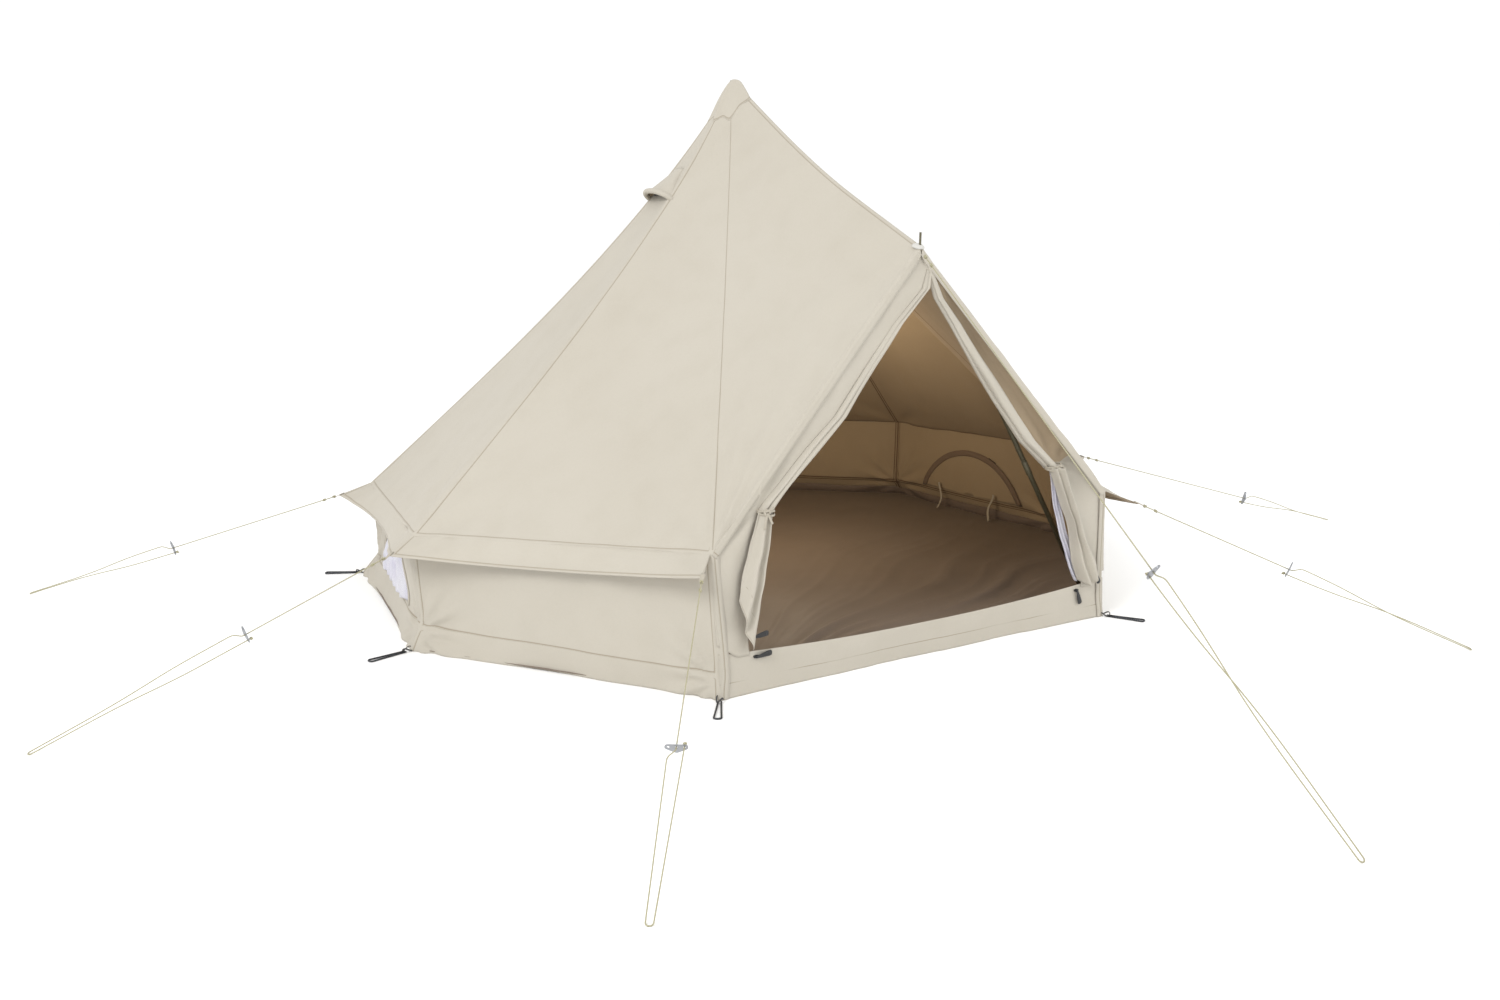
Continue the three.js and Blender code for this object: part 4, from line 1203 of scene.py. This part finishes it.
def door_flap(label, side, opening, folds, hem, fold_count, depth, upper, recess):
    """A door flap seen from outside: flat along the frame, rolled along its free edge, tied, then hanging."""
    cloth = Cloth(middle=Vector((0, 0, 0.5)))
    tie_x = lookup(folds, TIE_HEIGHT)
    flat_columns = 26

    def flat_point(down, q):
        z = mix(FLAP_TOP, mix(0.176, 0.129, smooth(q * 1.4)), down)
        outer = side * (flap_outer(z) - 0.0005)
        end = lookup(folds, z) if z > TIE_HEIGHT else mix(tie_x, side * 0.715, smooth((TIE_HEIGHT - z) / 0.42))
        if side * end > side * outer:
            end = outer
        x = mix(outer, end, q)
        held = smooth((z - 0.40) / 0.20) * smooth((1.35 - z) / 0.3)
        slack = math.sin(math.pi * min(q, 0.5)) ** 0.8 * recess * held - 0.0030 * smooth((0.24 - z) / 0.08)
        soft = rough(Vector((x * 4, 0, z * 0.9)), 3.0, 0.006, side) + tie_folds(x, z, tie_x, side)
        return Vector((x, door_y(z) - 0.0006 + slack + soft * math.sin(math.pi * min(q + 0.02, 1)) ** 0.5, z))

    def rolled_point(down, q):
        z = mix(1.390, TIE_HEIGHT - 0.004, down)
        start, end = lookup(folds, z), lookup(opening, z)
        grip = math.exp(-(((z - TIE_HEIGHT) / 0.05) ** 2))
        deep = depth * lookup([(0.59, 1.0), (0.70, 0.80), (0.95, upper), (1.25, upper * 0.5), (1.39, 0.05)], z)
        turn = math.pi * (1 - 1.16 * q)
        groove = abs(math.sin(math.pi * fold_count * q + 0.35 * math.sin(4.2 * z + side)))
        size = 1 - mix(0.44, 0.46, grip) * (1 - groove) ** 2
        x = (start + end) / 2 + (end - start) / 2 * math.cos(turn) * (0.25 + 0.75 * size if 0.1 < q < 0.9 else 1)
        wander = rough(Vector((q * 2, 0, z * 3)), 2.0, 0.006 * (1 - grip), 7 + side)
        y = door_y(z) + recess * 0.6 * smooth((1.35 - z) / 0.3) - deep * math.sin(turn) * size + wander
        return Vector((x, y, z))

    top_start, top_end = tie_x + side * 0.004, lookup(opening, TIE_HEIGHT)
    hem_x, hem_z = ([(k / (len(hem) - 1), place[axis]) for k, place in enumerate(hem)] for axis in (0, 1))

    def hanging_point(share, q):
        top = Vector((mix(top_start, top_end, q), 0, TIE_HEIGHT + 0.004))
        low = Vector((lookup(hem_x, q), 0, lookup(hem_z, q)))
        place = top.lerp(low, share)
        place.x += 0.012 * math.sin(math.pi * share) * q
        open_out = smooth(share * 2.2)
        bulge = math.sin(math.pi * min(q * 1.05 + 0.02, 1.0)) ** 0.6
        groove = 0.5 + 0.5 * math.cos(2 * math.pi * 2.1 * q + 1.2 + 1.9 * share)
        deep = mix(depth * 0.9, 0.034, open_out) * bulge * (0.26 + 0.74 * groove)
        flutter = rough(Vector((place.x * 2, 0, place.z)), 7, 0.010 * open_out, 9 + side)
        place.x += 0.010 * wobble(q * 1.5, place.z * 11, side) * open_out
        place.y = door_y(place.z) - 0.011 - deep + 0.016 * smooth((q - 0.88) / 0.12) + flutter
        from_hem = (1 - share) * (top - low).length
        return place, min(abs(from_hem - 0.075), abs(from_hem - 0.006)) + SEAM_LINE, place.z

    cloth.lay(110, flat_columns, flat_point)
    cloth.lay(90, 46, rolled_point)
    cloth.lay(60, 36, hanging_point)
    # With a recess, the flat part from the top down to just above the tie shows the painted shade material on its
    # outer face: painted shadow under the wing's edge and beside the roll.
    turned = {r * flat_columns + c for r in range(69) for c in range(1, 25)} if recess else ()
    area = round(max(cloth.area(9), 0.3 * 0.84 * 1.30 + 0.001), 3)
    cloth.build(f"door_flap_{label}_canvas", CANVAS, CANVAS_PAINTED_SHADE, 0.0014, turned=turned,
                stands_for=[f"door_flap_{label}"],
                flat=(0.84, 1.30), held="gathered", area=area, rests_on=["canopy", "walls"])
    tie_cord(label, side, tie_x, top_end, recess * 0.6, depth)


def tie_cord(label, side, start, end, recess, depth):
    """The cloth tape wound round the gathered flap, knotted in front with two short tails."""
    centre = Vector(((start + end) / 2, door_y(TIE_HEIGHT) + recess - depth * 0.35, TIE_HEIGHT))
    half = abs(end - start) / 2 + 0.001
    tie = Solid()
    for number, drop in enumerate((0.008, 0.000, -0.007)):
        wound = ring(centre + UP * drop, RIGHT * half, Vector((0, depth * 0.78, 0)), 1, 40)
        lifts = (0.005 * math.cos(2 * math.pi * k / 40 + 2 * number) for k in range(40))
        tie.tube([place + UP * lift for place, lift in zip(wound, lifts)], 0.0040, 8, closed=True, flat=0.7, spread=UP)
    knot = centre + Vector((side * half * 0.45, -depth * 0.80, 0.0))
    for size, tilt in ((0.0085, 0.4), (0.0065, -0.9)):
        turns = [2 * math.pi * k / 24 for k in range(24)]
        flat = [Vector((size * math.cos(turn), -0.004 * math.sin(2 * turn), size * math.sin(turn))) for turn in turns]
        tie.tube([knot + Matrix.Rotation(tilt, 3, "Y") @ place for place in flat], 0.0038, 8, closed=True)
    for swing, length in ((-0.014, 0.050), (0.016, 0.036)):
        tail = [knot + Vector((swing * s, -0.004 - 0.004 * s, -length * s)) for s in evenly(9)]
        tie.tube(tail, 0.0042, 8, flat=0.45, spread=RIGHT)
    tie.build(f"door_tie_{label}", WEBBING)


def door_net():
    """The inner netting door, gathered behind the right flap: a thin strip shows beside it."""
    cloth = Cloth(middle=Vector((0, 0, 0.5)))

    def net_point(share, q):
        z = mix(0.585, 0.150, share)
        edge = mix(0.572, 0.700, share) - 0.024 * math.sin(math.pi * share) ** 0.8 + 0.005 * wobble(share * 5)
        pleat = 0.006 * math.cos(2 * math.pi * 2.5 * q + 5 * z)
        return Vector((edge + 0.050 * q, door_y(z) + 0.012 + pleat + 0.014 * q, z))

    cloth.lay(69, 25, net_point)
    cloth.build("door_netting", NETTING, thickness=0.0008, slot="netting",
                flat=(0.09, 0.47), held="gathered", area=0.0330, rests_on=["door_flap_right_canvas"])


SILL_HALF = 0.8255
SILL_ROWS = (1.0, 0.97, 0.90, 0.82, 0.74, 0.66, 0.58, 0.50, 0.45, 0.42, 0.39, 0.34, 0.26, 0.18, 0.10, 0.05, 0.0)


def door_sill():
    cloth = Cloth()

    def sill_point(share, across):
        x = mix(-SILL_HALF, SILL_HALF, across)
        z = (0.119 + 0.030 * abs(x / 0.82) ** 2.2) * share
        free = (1 - abs(x / SILL_HALF) ** 6) * (0.12 + 0.88 * smooth((abs(z - 0.124) - 0.012) / 0.04))
        soft = rough(Vector((x, 0, z)), 4, 0.008, 3) + rough(Vector((x * 3, 0, z)), 6, 0.003, 4)
        bowed = 0.010 * (1 - (x / SILL_HALF) ** 2) * (1 - share) ** 2
        return Vector((x, door_y(z) - 0.001 + soft * free + bowed, z)), abs(z - 0.050) + SEAM_LINE, x

    cloth.grid([[sill_point(share, across) for across in evenly(90)] for share in SILL_ROWS])
    cloth.build("door_sill_canvas", CANVAS, CANVAS_PAINTED_SHADE, 0.002, stands_for=["door_sill"],
                flat=(1.66, 0.14), held="stretched", rests_on=["groundsheet_cloth"])


# ---- Groundsheet ----
def floor_height(place):
    """Long folds that fan out from the left front corner, and softer ones all over."""
    away = Vector((place.x, place.y, 0)) - Vector((-1.02, -1.44, 0))
    distance = away.length
    turn = math.atan2(away.y, away.x)
    bent = turn + 0.10 * noise.noise(away * 1.6)
    waves = (1 - abs(math.sin(bent * 27))) ** 1.4 + 0.7 * (1 - abs(math.sin(bent * 44 + 1))) ** 1.6
    fade = 0.25 + 0.75 * smooth(0.5 + 1.6 * wobble(bent * 6, distance * 1.3))
    near = math.exp(-(((turn - 0.30) / 0.34) ** 2)) * math.exp(-((distance / 2.1) ** 2))
    strength = 0.034 * smooth(distance / 0.35) * near * fade
    soft = 0.5 + 0.5 * noise.noise(place * 3.1)
    far = 0.5 + 0.5 * wobble(place.x * 2.2, place.y * 9, 2)
    return FLOOR_TOP + strength * waves + 0.004 * soft + 0.003 * far + 0.0006 * noise.noise(place * 17)


def floor_point(x, y):
    return Vector((x, y, floor_height(Vector((x, y, 0)))))


def groundsheet():
    cloth = Cloth(middle=Vector((0, 0, -1)))
    per_side = 90
    inset = 0.012
    outline = [CORNERS[i].hem.lerp(CORNERS[(i + 1) % 8].hem, k / per_side) for i in range(8) for k in range(per_side)]
    outline = [place * (1 - inset / place.length) for place in outline]
    shares = [mix(0.01, 1.0, share) for share in evenly(120)]
    rows = cloth.grid([[floor_point(place.x * share, place.y * share) for place in outline] for share in shares],
                      closed=True)
    cloth.close_middle(rows[0], floor_point(0, 0))
    cloth.build("groundsheet_cloth", GROUNDSHEET, UNDERSIDE, 0.0022, "groundsheet", stands_for=["groundsheet"],
                flat=(3.14, 3.00), held="laid", area=cloth.area(2), rests_on=["ground"])


def foot_line(i, u, z):
    """The inside of the wall's or sill's foot, at a height near the floor."""
    if i < 7:
        return wall_point(i, u, 2 - z / FOLD_HEIGHT) - wall_side(i)[2] * 0.008
    x = mix(0.812, -0.812, u)
    return Vector((x, door_y(z) + 0.016 + 0.010 * (1 - (x / 0.82) ** 2), z))


def groundsheet_rim():
    """The groundsheet's upstand, sewn to the foot of the wall all the way round."""
    cloth = Cloth(middle=Vector((0, 0, 0.4)))

    def rim_point(s, i, u):
        share = s / 8
        droop = wobble(i * 3.7 + u * 5) + 0.4 * wobble(i + u * 17, 3)
        high = 0.048 + 0.010 * droop if i < 7 else 0.022
        lean = 0.014 * (1 - share) ** 1.5 + 0.006 * math.sin(math.pi * share) * (1 + wobble(u * 20, i))
        return foot_line(i, u, mix(0.006, high, share)) - wall_side(i)[2] * lean, 1.0 if s < 7 else 0.0448 - 0.004 * s

    cloth.grid([[rim_point(s, i, k / 48) for i in range(8) for k in range(48)] for s in range(9)], closed=True)
    cloth.build("groundsheet_upstand", UNDERSIDE, UNDERSIDE, 0.0016, "groundsheet", stands_for=["groundsheet_rim"],
                flat=(0.050, 9.6), held="hung", rests_on=["walls"])


# ---- Poles and pegs: turned shapes are rows of (radius, height) ----
POLE_SHAPES = [
    ("pole_lower", "tube", POLE_METAL, "pole_steel",
     [[(0.0148, 0.0184), (0.0160, 0.0196), (0.0160, 1.0088), (0.0148, 1.0100), (0.0001, 1.0100)],
      [(0.0001, 0.995), (0.0166, 0.995), (0.0168, 0.997), (0.0168, 1.0085), (0.0166, 1.0100), (0.0001, 1.0100)]]),
    ("pole_upper", "tube", POLE_METAL, "pole_steel",
     [[(0.0001, 0.952), (0.0136, 0.952), (0.0140, 0.956), (0.0140, 1.0104), (0.0160, 1.0108), (0.0160, 1.936),
       (0.0148, 1.939), (0.0100, 1.944), (0.0042, 1.946), (0.0040, 1.9715), (0.0030, 1.974), (0.0001, 1.974)]]),
    ("pole_foot", "cap", RUBBER, "rubber",
     [[(0.0001, 0.0085), (0.032, 0.0085), (0.034, 0.0095), (0.034, 0.0112), (0.030, 0.0135), (0.0225, 0.0176),
       (0.0205, 0.0182), (0.0001, 0.0182)]]),
]
# An A-frame leg's top, knee and foot: (x, height, how far behind the door's plane).
LEG_PLACES = ((0.028, 1.334, 0.046), (0.208, 1.142, 0.061), (0.903, 0.0106, 0.165))


def poles():
    for name, kind, material, slot, profiles in POLE_SHAPES:
        shape = Solid()
        for profile in profiles:
            shape.turned(profile)
        shape.build(f"{name}_{kind}", material, slot=slot, stands_for=[name])


def aframe():
    for label, side in (("left", -1), ("right", 1)):
        top, knee, foot = (Vector((side * x, door_y(z) + behind, z)) for x, z, behind in LEG_PLACES)
        below, above = knee.lerp(foot, 0.06), knee.lerp(top, 0.20)
        bend = [below.lerp(knee, t).lerp(knee.lerp(above, t), t) for t in evenly(10)]
        leg = Solid()
        leg.tube([foot, *bend, top], 0.0095, 24)
        middle = foot.lerp(knee, 0.5)
        along = (knee - foot).normalized()
        leg.tube([middle + along * s for s in (-0.030, -0.028, 0.028, 0.030)], [0.0097, 0.0112, 0.0112, 0.0097], 24)
        leg.build(f"aframe_leg_{label}_tube", OLIVE_PAINT, slot="aframe_paint", stands_for=[f"aframe_leg_{label}"])


def pegs():
    """Wire pegs bent to a narrow loop: half of the wire as (along, aside), then its round end, then back."""
    half = [(0, -0.005), (0.040, -0.007), (0.090, -0.0095), (0.132, -0.012)]
    turns = [-math.pi / 2 + math.pi * k / 8 for k in range(1, 8)]
    end = [(0.132 + 0.008 * math.cos(turn), 0.012 * math.sin(turn)) for turn in turns]
    outline = half + end + [(along, -off) for along, off in reversed(half)]
    for number, corner in enumerate(CORNERS, 1):
        path = [corner.hem + corner.out * (0.016 + along) + corner.aside * off for along, off in outline]
        rod(f"peg_{number}_wire", PEG_METAL, [Vector((place.x, place.y, 0.00305)) for place in path], 0.0030, 12,
            f"peg_{number}_body", "peg_steel", [f"peg_{number}"])


# ---- Trim ----
def trim():
    for number, corner in enumerate(CORNERS, 1):
        drop = (corner.tip - corner.eave).normalized()
        places = ((-0.022, 0.0022), (-0.008, 0.002), (0.010, 0), (0.020, -0.001))
        rod(f"eave_tab_{number}", WEBBING, [corner.tip + drop * along + UP * lift for along, lift in places],
            [0.0075, 0.0075, 0.0065, 0.0055], 14, flat=0.16, spread=corner.aside)
        foot = corner.hem + corner.out * 0.008 + UP * 0.0095
        loop = ring(foot, corner.out * 0.019, corner.aside * 0.011, 1, 28)
        loop = [place + UP * (0.0062 * math.sin(4 * math.pi * k / 28)) for k, place in enumerate(loop)]
        rod(f"peg_loop_{number}", DARK_WEBBING, loop, 0.0030, 8, closed=True, flat=0.6)
    for name in GUYS:
        start, axis, _, spread, _ = guy_frame(name)
        for label, place, turns, size in (("eye", 0.004, 2.2, 0.0040), ("hitch", 0.046, 2.6, 0.0034)):
            path = coil(start + axis * place, spread, axis, 30, turns, size, 0.0100)
            rod(f"guy_{label}_{name}", ROPE, path, 0.0021, 8, slot="rope")
    patch = Solid()
    patch.turned([(0.0001, -0.006), (0.020, -0.008), (0.0225, -0.006), (0.019, -0.001), (0.010, 0.0048),
                  (0.0001, 0.0064)],
                 PORCH + Vector((0, 0.010, 0.002)), Vector((0, -0.30, 0.954)).normalized(), 36)
    patch.build("porch_patch", PATCH)
    zip_grip("net_zip_pull_left", -0.704, 0.190, 0.017, -8)
    zip_grip("net_zip_pull_right", 0.752, 0.192, 0.036, 62)
    for label, side, tilt in (("left", -1, -8), ("right", 1, 72)):
        puller = f"zip_puller_{label}"
        zip_grip(f"zip_grip_{label}", side * 0.690, 0.121, 0.0105, tilt, f"{puller}_body", [puller])


def zip_grip(name, x, z, ahead, tilt, body="tent", stands_for=()):
    """A moulded zip grip ahead of the door's plane, tilt degrees down from level, with a riveted wide end."""
    pivot = Vector((x, door_y(z) - ahead, z))
    turn = math.radians(tilt)
    along = Vector((math.cos(turn), 0, -math.sin(turn)))
    grip = Solid()
    grip.tube([pivot + along * s for s in (-0.003, -0.001, 0.006, 0.020, 0.044, 0.052, 0.055)],
              [0.0026, 0.0042, 0.0052, 0.0076, 0.0100, 0.0094, 0.0060], 16, flat=0.30,
              spread=Vector((along.z, 0, -along.x)))
    grip.turned([(0.0001, -0.0040), (0.0028, -0.0038), (0.0034, -0.0028), (0.0034, 0.0020)],
                pivot + along * 0.044, Vector((0, 1, 0)), 18)
    grip.build(name, BLACK_PLASTIC, body, "zip_black", stands_for)


def finish_hardware():
    """The plain CAD hardware that still shows gets its finish."""
    finishes = {"zip": BLACK_PLASTIC, "guy_plate": PLATE_METAL, "aframe_head": OLIVE_PAINT}
    for name, node in frame["nodes"].items():
        for key, material in finishes.items():
            if key in name:
                node.data.materials.clear()
                node.data.materials.append(material)


# ---- Stage ----
def add_lamp(name, kind, place, energy, size):
    data = bpy.data.lights.new(name, kind)
    data.energy = energy
    if kind == "AREA":
        data.size = size
    else:
        data.shadow_soft_size = size
    light = bpy.data.objects.new(name, data)
    light.location = place
    bpy.context.scene.collection.objects.link(light)
    return light


def stage():
    finish = Finish("studio_floor", (0.965, 0.965, 0.96), 0.9)
    finish.mottle(0.6, 2, 0.3, 0.8, (0.99, 0.99, 0.99))
    size = 60
    points = [(x, y, -0.0005) for x, y in ((-size, -size), (size, -size), (size, size), (-size, size))]
    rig.stage(make_object("studio_floor", points, [[0, 1, 2, 3]], [finish.done()]))
    world = bpy.data.worlds.new("studio")
    world.use_nodes = True
    background = world.node_tree.nodes["Background"]
    background.inputs["Color"].default_value = (1, 1, 1, 1)
    background.inputs["Strength"].default_value = 1.06
    bpy.context.scene.world = world
    bpy.context.scene.view_settings.view_transform = "Standard"
    for name, place, energy, size in (("key", (-6.5, -3.5, 6.0), 330, 3.0), ("fill", (4.5, -5.5, 3.4), 135, 5.0)):
        light = add_lamp(name, "AREA", place, energy, size)
        light.rotation_euler = (Vector((0, 0, 0.7)) - Vector(place)).to_track_quat("-Z", "Y").to_euler()
    # The warm light that comes through the canvas in daylight.
    glow = add_lamp("through_canvas", "POINT", (0.10, 0.05, 0.82), 22, 0.30)
    glow.data.color = (1.0, 0.84, 0.62)
    glow.visible_camera = False


# ---- Assembly ----
make_camera()
for guy in GUYS:
    guy_rope(guy)
canopy()
peak_cap()
vent_hood("left", 1)
vent_hood("right", 5)
walls()
windows()
door_flap("left", -1, LEFT_OPENING, LEFT_FOLDS, LEFT_HEM, 2.5, 0.032, 0.42, 0.0)
door_flap("right", 1, RIGHT_OPENING, RIGHT_FOLDS, RIGHT_HEM, 1.5, 0.034, 0.60, 0.040)
door_net()
door_sill()
groundsheet()
groundsheet_rim()
poles()
aframe()
pegs()
trim()
finish_hardware()
stage()

visual_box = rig.bounds()
with open("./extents.json", "w") as out:
    json.dump({"cad": [list(v) for v in cad_box], "visual": [list(v) for v in visual_box]}, out)
